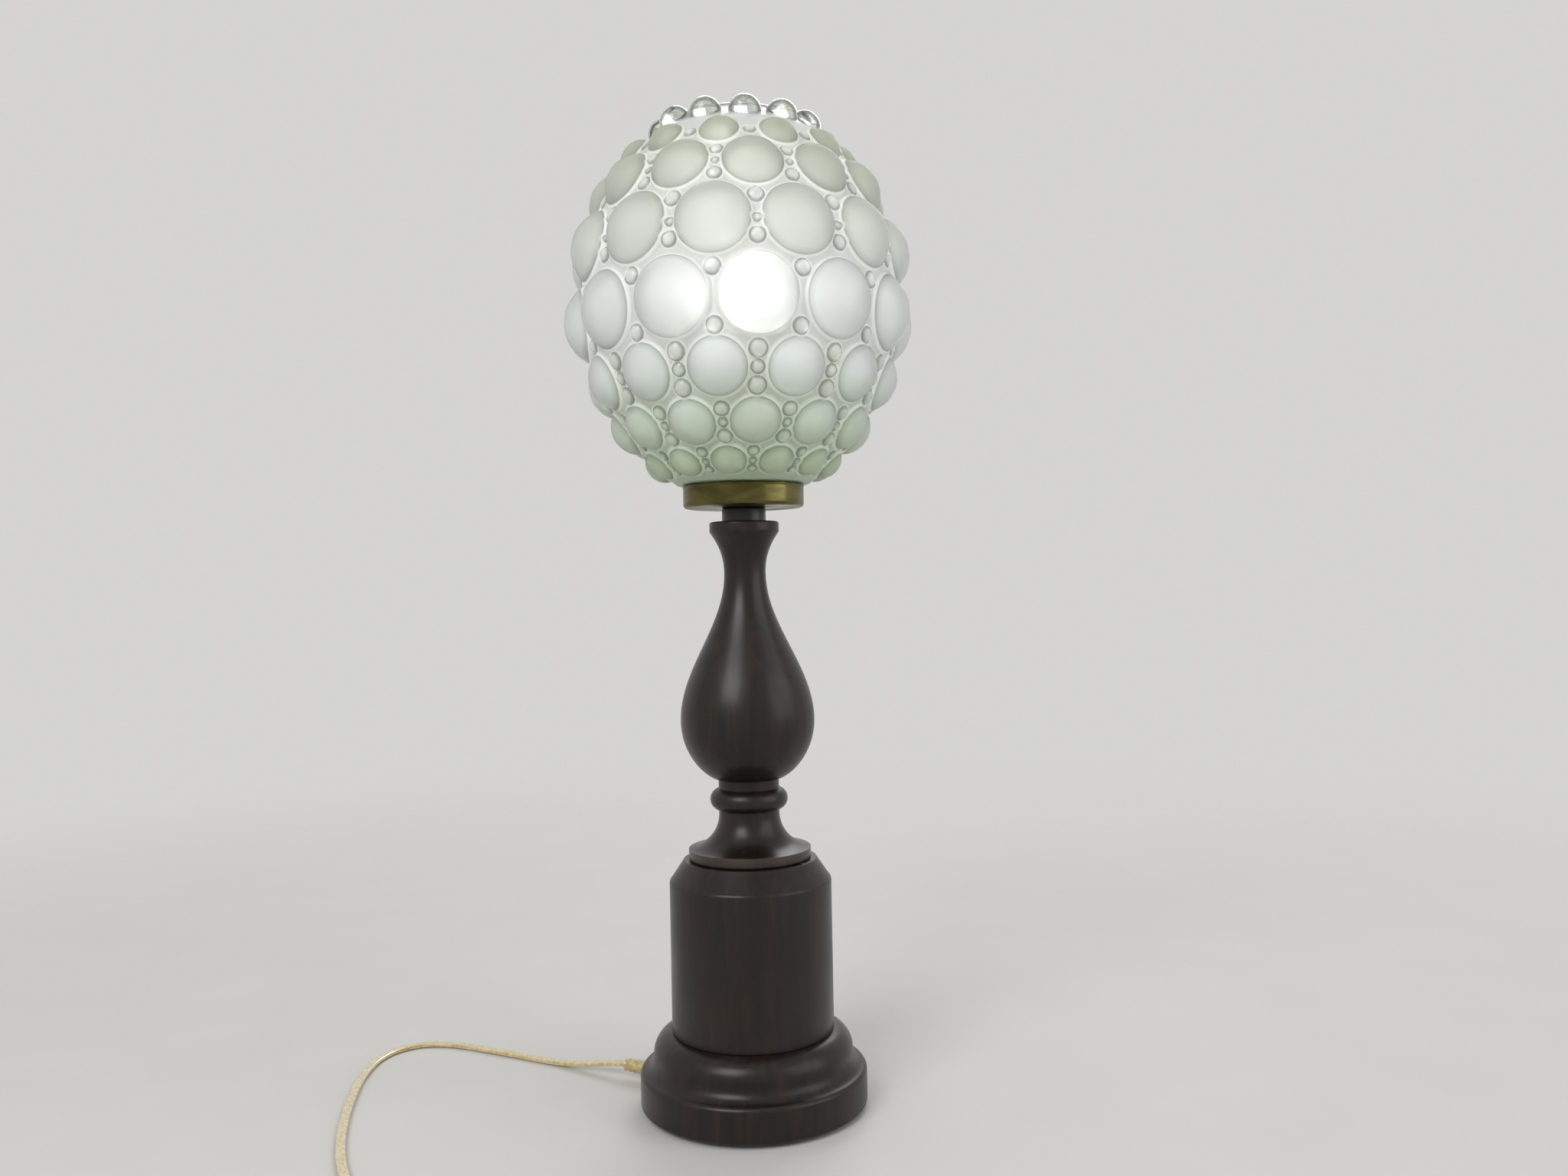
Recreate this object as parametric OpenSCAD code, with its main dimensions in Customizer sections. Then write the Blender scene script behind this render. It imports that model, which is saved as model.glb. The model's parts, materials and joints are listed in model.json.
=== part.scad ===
// Table lamp: turned wooden column, brass gallery and a moulded bubble-glass globe.
// Millimetres, +Z up, origin on the table under the lamp's axis, front of the lamp towards -Y.

/* [Foot] */
// Thickness of the felt under the foot
felt_t = 2; // [1:0.5:4]
// How far the felt stays inside the foot's edge
felt_inset = 4; // [2:0.5:8]
// Diameter of the foot
foot_d = 128.6; // [116:0.2:160]
// Height of the foot's top above the table
foot_h = 42.6; // [38:0.2:60]
// Radius of the hollow moulding on the foot
foot_cove_r = 7.5; // [5:0.5:9]
// Radius of the round moulding under the drum
ovolo_r = 11.7; // [9:0.1:14]
// Diameter of the recess in the foot's underside
recess_d = 84; // [60:1:96]
// Wood left above the recess
recess_roof = 18.6; // [12:0.2:22]

/* [Drum] */
// Diameter of the drum
drum_d = 92; // [80:0.5:96]
// Height of the drum up to its sloping cap
drum_h = 86.4; // [60:0.2:120]
// Height of the sloping cap
cap_h = 10; // [6:0.5:16]
// Diameter of the cap's top
cap_d = 76; // [70:0.5:80]
// Diameter of the round tenons between the wooden pieces
tenon_d = 32; // [24:0.5:36]
// Length of those tenons
tenon_l = 10; // [6:0.5:14]

/* [Baluster] */
// Diameter of the ring at its foot
ring_d = 69.4; // [60:0.2:75]
// Height of that ring
ring_h = 6; // [4:0.2:10]
// Radius of the hollow above the ring
cove_r = 19.8; // [18.2:0.2:24]
// Diameter of the stem beside the bead
stem_d = 34.4; // [34:0.2:40]
// Diameter of the bead
bead_d = 44.1; // [41:0.1:50]
// Radius of the bead's round edge
bead_r = 6.25; // [5:0.25:8]
// Height of the stem above the bead
stem_h = 5; // [2:0.5:12]
// Largest diameter of the vase
vase_d = 76.1; // [60:0.1:90]
// Height of the vase's bowl, from the stem to its largest diameter
bowl_h = 33.4; // [24:0.2:50]
// Height of the vase's shoulder, from there to its waist
shoulder_h = 83.6; // [60:0.2:120]
// Diameter of the waist
waist_d = 23.7; // [21:0.1:32]
// Height of the flare from the waist to the collar
flare_h = 22.5; // [14:0.5:36]
// Diameter of the collar
collar_d = 39.5; // [36:0.5:50]
// Height of the collar
collar_h = 6.5; // [4:0.5:12]

/* [Tube and fixings] */
// Outer diameter of the threaded tube
tube_d = 10; // [9.6:0.1:11]
// Wall of the threaded tube
tube_wall = 1.2; // [0.9:0.1:1.4]
// Width of the nuts across their flats
nut_af = 17; // [15:0.5:19]
// Thickness of the nuts
nut_t = 5.5; // [4:0.25:7]
// Diameter of the washer under the foot
washer_d = 30; // [24:1:40]
// Thickness of that washer
washer_t = 1.5; // [1:0.1:3]
// Diameter of the black spacer
spacer_d = 25; // [22:0.5:30]
// Height of the black spacer
spacer_h = 8; // [5:0.5:14]

/* [Gallery] */
// Height of the brass gallery
gallery_h = 12.8; // [11:0.2:18]
// Sheet thickness of the gallery
gallery_t = 1.2; // [0.8:0.1:1.5]
// Thickness of the rubber ring that the globe rests on
gasket_t = 2; // [1:0.25:3]
// Width of that ring
gasket_w = 5; // [3.5:0.25:6]

/* [Globe] */
// Radius of the arc that the globe's side follows
globe_arc_r = 128; // [115:0.5:140]
// Height of that arc's centre above the gallery's rim
globe_arc_h = 102.2; // [92:0.2:112]
// Width of the flat shoulder between the neck and the side
shoulder_w = 5.65; // [4:0.05:8]
// Wall of the glass
glass_t = 2.4; // [2:0.1:2.8]
// Outer diameter of the neck that stands in the gallery
globe_neck_d = 64.4; // [63:0.2:68]
// Diameter of the opening at the top
mouth_d = 74; // [70:0.5:76]
// Bubbles in each row, and beads in the crown
bubbles = 12; // [11:1:12]
// Place of each row of bubbles on the side, 0 at the shoulder and 1 at the mouth, from the top row down
row_share = [0.866, 0.754, 0.602, 0.441, 0.289, 0.166, 0.062]; // [0.05:0.001:0.9]
// Radius of each row's bubbles where they rise from the glass, as a share of the globe's largest radius
bubble_share = [0.123, 0.182, 0.211, 0.23, 0.167, 0.149, 0.109]; // [0.1:0.001:0.235]
// Height of a bubble as a share of that radius
bubble_rise = 0.56; // [0.45:0.01:0.62]
// Radius of the crown's solid glass beads
crown_bead_r = 8.5; // [7:0.1:9]
// How far outside the mouth's edge their centres stand
crown_out = 4.5; // [3:0.1:7]
// Depth of the beads' centres below the mouth's edge
crown_drop = 5.6; // [4:0.2:8]

/* [Lampholder] */
// Outer diameter of the lampholder
holder_d = 40; // [38:0.5:46]
// Wall of its moulded shells
holder_t = 2.1; // [1.6:0.1:2.4]
// Height of its lower shell
holder_base_h = 27.3; // [25:0.1:32]
// Height of its upper sleeve
holder_sleeve_h = 28; // [26:0.5:34]
// Diameter of its threaded neck
holder_neck_d = 17; // [15:0.5:20]
// Thickness of the porcelain block
core_t = 8; // [6:0.5:10]
// Sheet thickness of the contacts
contact_t = 0.5; // [0.4:0.05:0.7]
// Height of the screw shell
shell_h = 21; // [18:0.5:22]

/* [Bulb] */
// Outer diameter of the bulb's screw cap
bulb_cap_d = 26.4; // [25.8:0.1:26.6]
// Height of the screw cap
bulb_cap_h = 20; // [18:0.5:24]
// Diameter of the bulb's opal dome
bulb_d = 55; // [45:0.5:57]
// Height of the housing between the cap and the dome
bulb_housing_h = 37; // [28:0.5:42]
// Wall of the dome and of the housing
bulb_t = 1.5; // [1:0.1:2.2]

/* [Flex] */
// Width of the twin flex
flex_w = 5.2; // [4.8:0.1:5.4]
// Thickness of the twin flex
flex_t = 2.6; // [2.2:0.1:2.7]
// Height of the flex where it leaves the foot
flex_z = 8; // [7:0.5:9]
// Length of the tapered strain relief outside the foot
relief_l = 21.7; // [20:0.1:22]

/* [Switch] */
// Length of the switch on the flex
switch_l = 64; // [58:1:66]
// Width of the switch
switch_w = 26; // [25:0.5:30]
// Height of the switch
switch_h = 17; // [16:0.5:20]
// Wall of its shells
switch_t = 1.8; // [1.4:0.1:2.2]
// Width of the rocker
rocker_w = 9.4; // [8:0.1:10]
// Length of the rocker
rocker_l = 21; // [18:0.5:24]
// Tilt of the rocker to each side
rocker_tilt = 8; // [5:0.5:9]

/* [Plug] */
// Diameter of the plug's round face
plug_d = 37; // [35:0.5:40]
// Length of the plug's body
plug_l = 34; // [30:1:40]
// Diameter of the pins
pin_d = 4.8; // [4:0.1:5]
// Length of the pins in front of the face
pin_l = 19; // [17:0.5:20]
// Distance between the pins
pin_pitch = 19; // [18:0.1:20]
// Length of the plug's tapered sleeve
sleeve_l = 22; // [20:0.5:30]

/* [Clearances] */
// Gap round the tenons and the tube in the wood
wood_gap = 0.2; // [0.1:0.05:0.4]
// Gap between the globe and what it rests on
globe_gap = 0.3; // [0.2:0.05:0.5]
// Gap round pieces that are pushed or screwed together
fit_gap = 0.1; // [0.05:0.01:0.2]
// Gap round the bulb's cap in the screw shell
thread_gap = 0.25; // [0.15:0.05:0.3]
// Gap round the rocker
rocker_gap = 0.4; // [0.3:0.05:0.6]

/* [Hidden] */
$fn = 72;

// Heights of the wooden stack
drum_top = foot_h + drum_h + cap_h;
ring_top = drum_top + ring_h;
cove_top = ring_top + sqrt(pow(cove_r, 2) - pow(stem_d / 2 + cove_r - ring_d / 2, 2));
bead_step = 1.75;
bead_z = cove_top + bead_r + bead_step;
bowl_z = bead_z + bead_r + stem_h;
vase_z = bowl_z + bowl_h;
waist_z = vase_z + shoulder_h;
flare_top = waist_z + flare_h;
collar_top = flare_top + collar_h;
spacer_top = collar_top + spacer_h;
recess_top = foot_h - recess_roof;
hole_r = tube_d / 2 + wood_gap;

// Gallery and what stands in it
gallery_r = globe_neck_d / 2 + 3 * globe_gap + gallery_t;
gallery_floor = spacer_top + gallery_t;
gallery_rim = spacer_top + gallery_h;
gallery_nut_top = gallery_floor + nut_t;
globe_bottom = gallery_floor + gasket_t + globe_gap;
globe_shoulder = gallery_rim + 2 * globe_gap;
globe_arc_z = gallery_rim + globe_arc_h;
globe_low = globe_arc_z - globe_shoulder;
globe_arc_in = sqrt(pow(globe_arc_r, 2) - pow(globe_low, 2)) - globe_neck_d / 2 - shoulder_w;
low_lean = -asin(globe_low / globe_arc_r);
high_lean = acos((mouth_d / 2 + globe_arc_in) / globe_arc_r);
globe_mouth_z = globe_arc_z + sqrt(pow(globe_arc_r, 2) - pow(mouth_d / 2 + globe_arc_in, 2));
crown_z = globe_mouth_z - crown_drop;
neck_bore_r = globe_neck_d / 2 - glass_t;
globe_bands = 4;
band_steps = 8;

// Lampholder
holder_z = gallery_nut_top;
sleeve_z = holder_z + holder_base_h;
core_drop = 4;
core_z = sleeve_z - core_drop;
core_top = core_z + core_t;
core_r = holder_d / 2 - 2 * holder_t - fit_gap;
spigot_r = holder_d / 2 - holder_t - fit_gap;
spigot_h = 5;
core_ledge = 2;
holder_skirt_h = 8;
shell_r = bulb_cap_d / 2 + thread_gap;
sleeve_top = sleeve_z + holder_sleeve_h;
tongue_h = 2.3;
terminal_x = 9;
wire_hole_r = 2.5;
mouth_gap = 2;
tube_end = 1;
tube_grip = 6;
tube_bottom = recess_top - washer_t - nut_t - tube_end;
tube_top = holder_z + tube_grip;

// Bulb
bulb_z = core_top + tongue_h + globe_gap;
bulb_contact_h = 2;
bulb_contact_r = 4.6;
bulb_insulator_h = 3.4;
bulb_cap_z = bulb_z + bulb_contact_h + bulb_insulator_h;
bulb_housing_z = bulb_cap_z + bulb_cap_h;
dome_z = bulb_housing_z + bulb_housing_h;
dome_foot_r = 0.9 * bulb_d / 2;
dome_centre_z = dome_z + sqrt(pow(bulb_d / 2, 2) - pow(dome_foot_r, 2));

// Flex: the direction in which it leaves the foot, and its cores
flex_angle = 146;
flex_side = [cos(flex_angle), sin(flex_angle), 0];
flex_across = [-sin(flex_angle), cos(flex_angle), 0];
core_d = flex_w / 2 - fit_gap;
core_offset = flex_w / 4;
relief_r = core_d + core_offset;
relief_start = foot_d / 2;
relief_tip = relief_start + relief_l;
flex_bend_r = 10;
lay_gap = 0.1;
floor_z = flex_t / 2 + lay_gap;
lead_start = relief_tip * flex_side + [0, 0, flex_z];

// Small screws
screw_d = 3;
screw_head_d = 5.2;
screw_boss_d = 6.8;
screw_head_h = 1.7;
screw_sink = 0.3;

// Switch, at its place along the flex
switch_at = [-195, -182, 0];
switch_split = switch_h / 2;
switch_axis_z = switch_split;
switch_screw_inset = 9;
switch_screw_y = switch_l / 2 - switch_screw_inset;
switch_crown_r = 30;
rocker_depth = 6;
rocker_z = switch_h - rocker_depth;
rocker_pin_d = 3;
rocker_cheek_t = 2;

// Coil: flat turns that spiral in on one layer and out again on the next
coil_at = [-128, -200, 0];
coil_in_r = 23;
coil_turns = 2.75;
coil_side_gap = 0.6;
coil_layer_gap = 0.5;
coil_pitch = flex_w + coil_side_gap;
coil_climb = flex_t + coil_layer_gap;
tie_t = 0.5;
coil_z = tie_t + lay_gap + flex_t / 2;
coil_out_r = coil_in_r + coil_turns * coil_pitch;
coil_steps = 24;
coil_y = coil_at[1] - coil_out_r;

// Plug, lying on its round face's edge and on its sleeve's tip
plug_face_t = 10;
plug_back = plug_l - plug_face_t;
pin_seat = 8;
pin_z = sleeve_l + plug_l - pin_seat;
sleeve_wall = 0.6;
sleeve_tip_r = flex_w / 2 + sleeve_wall;
sleeve_end_r = 5;
plug_lean = atan((plug_d / 2 - sleeve_tip_r) / (sleeve_l + plug_back));
plug_tip = [-58, coil_y, sleeve_tip_r * cos(plug_lean) + lay_gap];
plug_axis = [cos(plug_lean), 0, sin(plug_lean)];

// The flex's way over the table, from the foot to the switch
lead_route = concat([lead_start, lead_start + 6 * flex_side + [0, 0, -0.3]],
  [[-88, 59.5, 5.6], [-104, 70, 2.6], [-120, 81, floor_z], [-137, 93, floor_z], [-155, 105, floor_z],
   [-172, 116, floor_z], [-188, 123, floor_z], [-203, 124, floor_z], [-216, 117, floor_z],
   [-224, 105, floor_z], [-228, 90, floor_z], [-230, 70, floor_z], [-230, 50, floor_z],
   [-229, 28, floor_z], [-227, 6, floor_z], [-224, -16, floor_z], [-219, -40, floor_z],
   [-212, -64, floor_z], [-205, -88, floor_z], [-199, -110, 2.2], [-196, -128, 5]],
  [switch_at + [0, switch_l / 2 + 8, switch_axis_z - 0.5], switch_at + [0, switch_l / 2, switch_axis_z]]);
// From the switch to the coil
link_route = concat(
  [switch_at + [0, -switch_l / 2, switch_axis_z], switch_at + [0, -switch_l / 2 - 6, switch_axis_z - 0.5]],
  [[-191, -228, 6], [-180, -235, 4], [-165, -237, 2.4], [-150, coil_y, coil_z]],
  [[coil_at[0] - 2 * flex_w, coil_y, coil_z], [coil_at[0] - flex_w, coil_y, coil_z]]);
// From the coil to the plug
tail_z = coil_z + coil_climb;
tail_route = concat(
  [[coil_at[0] + flex_w, coil_y, tail_z], [coil_at[0] + 2 * flex_w, coil_y, tail_z]],
  [[-106, coil_y, 3.6], [-94, coil_y, 1.9], [-82, coil_y, floor_z], [-71, coil_y, 1.5]],
  [plug_tip - flex_w * plug_axis, plug_tip]);

// Geometry helpers
function polar(r, a) = r * [cos(a), sin(a)];
function arc(c, r, a0, a1, n = 8) = [for (i = [0 : n]) c + polar(r, a0 + (a1 - a0) * i / n)];
function unit(v) = v / norm(v);
function tangent(p, i) = unit(p[min(i + 1, len(p) - 1)] - p[max(i - 1, 0)]);
function side(t, across) = is_undef(across) ? unit(cross(t, [0, 0, 1])) : unit(across - (across * t) * t);
function ring_section(r, n) = [for (k = [0 : n - 1]) polar(r, 360 * k / n)];
// Sections of the twin flex: a flat shape whose corners are cut, in one corner or in two
function mirrored(q) = concat(q, -1 * q);
function flex_section(n) = mirrored(n == 6
  ? [[flex_w, 0], [flex_w - flex_t, flex_t], [flex_t - flex_w, flex_t]] / 2
  : [[flex_w, flex_t * 0.4], [flex_w - flex_t * 0.6, flex_t],
     [flex_t * 0.6 - flex_w, flex_t], [-flex_w, flex_t * 0.4]] / 2);
// A smooth curve through points, with n steps between each two
function curve(p, n) = concat([for (i = [0 : len(p) - 2]) for (k = [0 : n - 1]) let (
    t = k / n, a = p[max(i - 1, 0)], b = p[i], c = p[i + 1], d = p[min(i + 2, len(p) - 1)])
  (2 * b + (c - a) * t + (2 * a - 5 * b + 4 * c - d) * t * t + (3 * b - a - 3 * c + d) * t * t * t) / 2],
  [p[len(p) - 1]]);
function total(v, i = 0) = i < len(v) ? v[i] + total(v, i + 1) : 0;
function path_length(p) = total([for (i = [1 : len(p) - 1]) norm(p[i] - p[i - 1])]);

// A tube that carries a section along a path
module sweep(path, section, across) {
  n = len(path);
  m = len(section);
  points = [for (i = [0 : n - 1]) let (t = tangent(path, i), s = side(t, across), u = cross(s, t))
    for (q = section) path[i] + q[0] * s + q[1] * u];
  walls = [for (i = [0 : n - 2]) for (j = [0 : m - 1]) let (a = i * m + j, b = i * m + (j + 1) % m)
    for (f = [[a, b, b + m], [a, b + m, a + m]]) f];
  last = (n - 1) * m;
  ends = [for (j = [1 : m - 2]) for (f = [[0, j + 1, j], [last, last + j, last + j + 1]]) f];
  polyhedron(points, concat(walls, ends), convexity = 10);
}

// The coil's centreline, by turns: in on the lower layer, up in half a turn, and out on the upper one
function coil_point(u) = let (
    radius = coil_in_r + coil_pitch * max(coil_turns - u, 0, u - coil_turns - 0.5),
    height = coil_z + coil_climb * min(max(2 * (u - coil_turns), 0), 1),
    a = 360 * u - 90)
  coil_at + [radius * cos(a), radius * sin(a), height];
coil_rings = round((2 * coil_turns + 0.5) * coil_steps);
coil_path = concat([coil_point(0) - [flex_w, 0, 0]],
  [for (i = [0 : coil_rings]) coil_point(i / coil_steps)],
  [coil_point(2 * coil_turns + 0.5) + [flex_w, 0, 0]]);
// Gap between two flat turns of the flex, whose long corners are cut at 45 degrees
function turn_gap(a, b) = let (r = norm([a[0] - b[0], a[1] - b[1]]), h = abs(a[2] - b[2]))
  max((r + h - flex_w) / sqrt(2), h - flex_t);
coil_gap = min([for (i = [0 : len(coil_path) - 1]) for (j = [i + coil_steps / 2 : 1 : len(coil_path) - 1])
  turn_gap(coil_path[i], coil_path[j])]);
echo(coil_self_gap = coil_gap);
echo(flex_length = path_length(curve(lead_route, 2)) + switch_l + path_length(curve(link_route, 2))
  + path_length(coil_path) + path_length(curve(tail_route, 2)));

// The wooden stack
module base_felt() {
  color("darkslategray") cylinder(r = foot_d / 2 - felt_inset, h = felt_t);
}

module foot() {
  edge = 1.5;
  nose = 2.8;
  fillet = 2;
  over = 5;
  step = 0.3;
  nose_end = 78;
  start = 255;
  cove_x = foot_d / 2 - step;
  cove_z = foot_h - ovolo_r - fillet;
  nose_x = cove_x + foot_cove_r * cos(start) - nose * cos(nose_end);
  nose_z = cove_z + foot_cove_r * sin(start) - nose * sin(nose_end);
  color("#1c1310") difference() {
    rotate_extrude() polygon(concat(
      [[0, felt_t]],
      arc([nose_x + nose - edge, felt_t + edge], edge, -90, 0, 4),
      arc([nose_x, nose_z], nose, 0, nose_end, 5),
      arc([cove_x, cove_z], foot_cove_r, start, 180),
      arc([cove_x - foot_cove_r - ovolo_r, foot_h - ovolo_r], ovolo_r, 0, 90, 10),
      [[tenon_d / 2, foot_h], [tenon_d / 2, foot_h + tenon_l], [0, foot_h + tenon_l]]));
    translate([0, 0, felt_t - 1]) cylinder(d = recess_d, h = recess_top - felt_t + 1);
    cylinder(r = hole_r, h = foot_h + tenon_l + 1);
    translate(flex_side * (recess_d / 2 - over) + [0, 0, flex_z]) rotate([0, 90, flex_angle])
      cylinder(r = relief_r + wood_gap, h = foot_d / 2);
  }
}

module drum() {
  edge = 3;
  slope = 60;
  color("#1c1310") difference() {
    rotate_extrude() polygon(concat(
      [[0, foot_h], [drum_d / 2, foot_h]],
      arc([drum_d / 2 - edge, drum_top - cap_h - edge], edge, 0, slope, 5),
      [[cap_d / 2, drum_top], [tenon_d / 2, drum_top],
       [tenon_d / 2, drum_top + tenon_l], [0, drum_top + tenon_l]]));
    translate([0, 0, foot_h - 1]) cylinder(r = tenon_d / 2 + wood_gap, h = tenon_l + wood_gap + 1);
    cylinder(r = hole_r, h = drum_top + tenon_l + 1);
  }
}

module baluster() {
  edge = 1.2;
  steps = 24;
  bowl_power = 1.35;
  flare_power = 2.2;
  flare_steps = 12;
  collar_step = 0.5;
  bead_half = acos((stem_d / 2 - (bead_d / 2 - bead_r)) / bead_r);
  cove_low = asin((ring_top - cove_top) / cove_r);
  lip = 1.2;
  color("#1c1310") difference() {
    rotate_extrude() polygon(concat(
      [[0, drum_top]],
      arc([ring_d / 2 - edge, drum_top + edge], edge, -90, 0, 4),
      arc([stem_d / 2 + cove_r, cove_top], cove_r, 180 - cove_low, 180, 12),
      arc([bead_d / 2 - bead_r, bead_z], bead_r, -bead_half, bead_half, 14),
      // The bowl of the vase, a rounded curve that leaves the stem with a slight hollow
      [for (i = [0 : steps - 1]) let (a = 90 * i / steps)
        [stem_d / 2 + (vase_d - stem_d) / 2 * pow(sin(a), bowl_power), vase_z - bowl_h * cos(a)]],
      // Its shoulder, half a wave from the largest diameter to the waist
      [for (i = [0 : steps - 1]) let (s = i / steps)
        [waist_d / 2 + (vase_d - waist_d) / 4 * (1 + cos(180 * s)), vase_z + shoulder_h * s]],
      [for (i = [0 : flare_steps]) let (s = i / flare_steps)
        [waist_d / 2 + ((collar_d - waist_d) / 2 - collar_step) * pow(s, flare_power),
         waist_z + flare_h * s]],
      arc([collar_d / 2 - lip, flare_top + lip], lip, -30, 0, 2),
      arc([collar_d / 2 - lip, collar_top - lip], lip, 0, 90, 4),
      [[0, collar_top]]));
    translate([0, 0, drum_top - 1]) cylinder(r = tenon_d / 2 + wood_gap, h = tenon_l + wood_gap + 1);
    cylinder(r = hole_r, h = collar_top + 1);
  }
}

// What holds the stack together
module threaded_tube() {
  color("silver") translate([0, 0, tube_bottom]) difference() {
    cylinder(d = tube_d, h = tube_top - tube_bottom);
    translate([0, 0, -1]) cylinder(d = tube_d - 2 * tube_wall, h = tube_top - tube_bottom + 2);
  }
}

module hex_nut(z) {
  translate([0, 0, z]) difference() {
    cylinder(d = nut_af / cos(30), h = nut_t, $fn = 6);
    translate([0, 0, -1]) cylinder(r = tube_d / 2 + fit_gap / 2, h = nut_t + 2);
  }
}

module base_washer() {
  color("silver") translate([0, 0, recess_top - washer_t]) difference() {
    cylinder(d = washer_d, h = washer_t);
    translate([0, 0, -1]) cylinder(r = hole_r, h = washer_t + 2);
  }
}

module base_nut() {
  color("silver") hex_nut(recess_top - washer_t - nut_t);
}

module neck_spacer() {
  edge = 1.2;
  color("#111111") rotate_extrude() polygon(concat(
    [[hole_r, collar_top], [spacer_d / 2, collar_top]],
    arc([spacer_d / 2 - edge, spacer_top - edge], edge, 0, 90, 4),
    [[hole_r, spacer_top]]));
}

module gallery() {
  edge = 2;
  bead = 0.9;
  bead_in = 0.63;
  inner = gallery_r - gallery_t;
  color("#8a7a33") rotate_extrude() union() {
    polygon(concat(
      [[hole_r, spacer_top]],
      arc([gallery_r - edge, spacer_top + edge], edge, -90, 0, 5),
      [[gallery_r, gallery_rim - bead], [inner, gallery_rim - bead]],
      arc([inner - edge + gallery_t, spacer_top + edge], edge - gallery_t, 0, -90, 5),
      [[hole_r, gallery_floor]]));
    translate([gallery_r - bead_in, gallery_rim - bead]) circle(r = bead, $fn = 32);
  }
}

module gallery_nut() {
  color("goldenrod") hex_nut(gallery_floor);
}

module globe_gasket() {
  inset = 2;
  outer = gallery_r - gallery_t - inset;
  color("dimgray") translate([0, 0, gallery_floor]) difference() {
    cylinder(r = outer, h = gasket_t);
    translate([0, 0, -1]) cylinder(r = outer - gasket_w, h = gasket_t + 2);
  }
}

// Points of the globe's side from one height to another, outside and inside, and where its bands meet
function globe_side(r, z0, z1) = arc([-globe_arc_in, globe_arc_z], r,
  asin((z0 - globe_arc_z) / r), asin((z1 - globe_arc_z) / r), band_steps);
function outer_side(z0, z1) = globe_side(globe_arc_r, z0, z1);
function inner_side(z0, z1) = globe_side(globe_arc_r - glass_t, z0, z1);
function band_z(i) = globe_arc_z + globe_arc_r * sin(low_lean + (high_lean - low_lean) * i / globe_bands);

// The glass shell, which stands as a neck and four bands, each on the one below
module globe_neck() {
  color("#bcd0b4") rotate_extrude() polygon([
    [neck_bore_r, globe_bottom], [globe_neck_d / 2, globe_bottom],
    [globe_neck_d / 2, globe_shoulder], [neck_bore_r, globe_shoulder]]);
}

module globe_cup() {
  color("#bcd0b4") rotate_extrude() polygon(concat(
    [[neck_bore_r, globe_shoulder]],
    outer_side(globe_shoulder, band_z(1)),
    inner_side(band_z(1), globe_shoulder + glass_t),
    [[neck_bore_r, globe_shoulder + glass_t]]));
}

module globe_belly() {
  color("#bcd0b4") rotate_extrude()
    polygon(concat(outer_side(band_z(1), band_z(2)), inner_side(band_z(2), band_z(1))));
}

module globe_flank() {
  color("#bcd0b4") rotate_extrude()
    polygon(concat(outer_side(band_z(2), band_z(3)), inner_side(band_z(3), band_z(2))));
}

module globe_dome() {
  mouth_low = globe_arc_z + sqrt(pow(globe_arc_r - glass_t, 2) - pow(mouth_d / 2 + globe_arc_in, 2));
  color("#bcd0b4") rotate_extrude()
    polygon(concat(outer_side(band_z(3), globe_mouth_z), inner_side(mouth_low, band_z(3))));
}

// All that lies within the globe's outer form, and the room that its bubbles leave round it
module globe_form(top) {
  rotate_extrude() intersection() {
    translate([-globe_arc_in, globe_arc_z]) circle(r = globe_arc_r + fit_gap, $fn = 180);
    translate([0, globe_bottom]) square([globe_arc_r, top - globe_bottom]);
  }
}

// One hollow bubble: the cap of a sphere that rises from a circle of radius a, with its centre at the origin
module bubble(a) {
  rise = bubble_rise * a;
  radius = (a * a + rise * rise) / (2 * rise);
  rotate_extrude() intersection() {
    translate([0, rise - radius]) difference() {
      circle(r = radius);
      circle(r = radius - glass_t);
    }
    translate([0, rise - radius]) square(radius);
  }
}

// Rows of bubbles, each seated on the shell
module globe_bubbles() {
  color("#c6d8be") for (i = [0 : len(row_share) - 1]) {
    lean = low_lean + (high_lean - low_lean) * row_share[i];
    shift = i % 2 == 0 ? 0.5 : 0;
    for (k = [0 : bubbles - 1]) rotate([0, 0, 360 / bubbles * (k + shift) - 90]) difference() {
      translate([globe_arc_r * cos(lean) - globe_arc_in, 0, globe_arc_z + globe_arc_r * sin(lean)])
        rotate([0, 90 - lean, 0]) bubble(bubble_share[i] * (globe_arc_r - globe_arc_in));
      globe_form(globe_mouth_z);
    }
  }
}

// The crown of solid glass beads round the mouth
module globe_crown() {
  color("#e4ece0") for (k = [0 : bubbles - 1]) rotate([0, 0, 360 / bubbles * k - 90]) difference() {
    translate([mouth_d / 2 + crown_out, 0, crown_z]) sphere(r = crown_bead_r);
    globe_form(globe_mouth_z + 2 * crown_bead_r);
  }
}

// Lampholder
module holder_base() {
  r = holder_d / 2;
  bore_r = tube_d / 2 + fit_gap / 2;
  neck_r = holder_neck_d / 2;
  round_r = r - neck_r;
  round_z = sleeve_z - holder_skirt_h;
  color("#f0ead8") rotate_extrude() polygon(concat(
    [[bore_r, holder_z], [neck_r, holder_z]],
    arc([neck_r, round_z], round_r, -90, 0),
    [[r, sleeve_z], [spigot_r, sleeve_z], [spigot_r, sleeve_z + spigot_h],
     [core_r + fit_gap, sleeve_z + spigot_h], [core_r + fit_gap, core_z], [core_r - core_ledge, core_z]],
    arc([neck_r, round_z], round_r - holder_t, 0, -90),
    [[bore_r, round_z - round_r + holder_t]]));
}

module holder_core() {
  color("ivory") difference() {
    translate([0, 0, core_z]) cylinder(r = core_r, h = core_t);
    for (s = [1, -1]) translate(s * terminal_x * flex_across + [0, 0, core_z - 1])
      cylinder(r = screw_d / 2 + fit_gap, h = core_t);
    translate([0, 0, core_z - 1]) cylinder(r = wire_hole_r, h = core_t - 1);
  }
}

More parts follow.
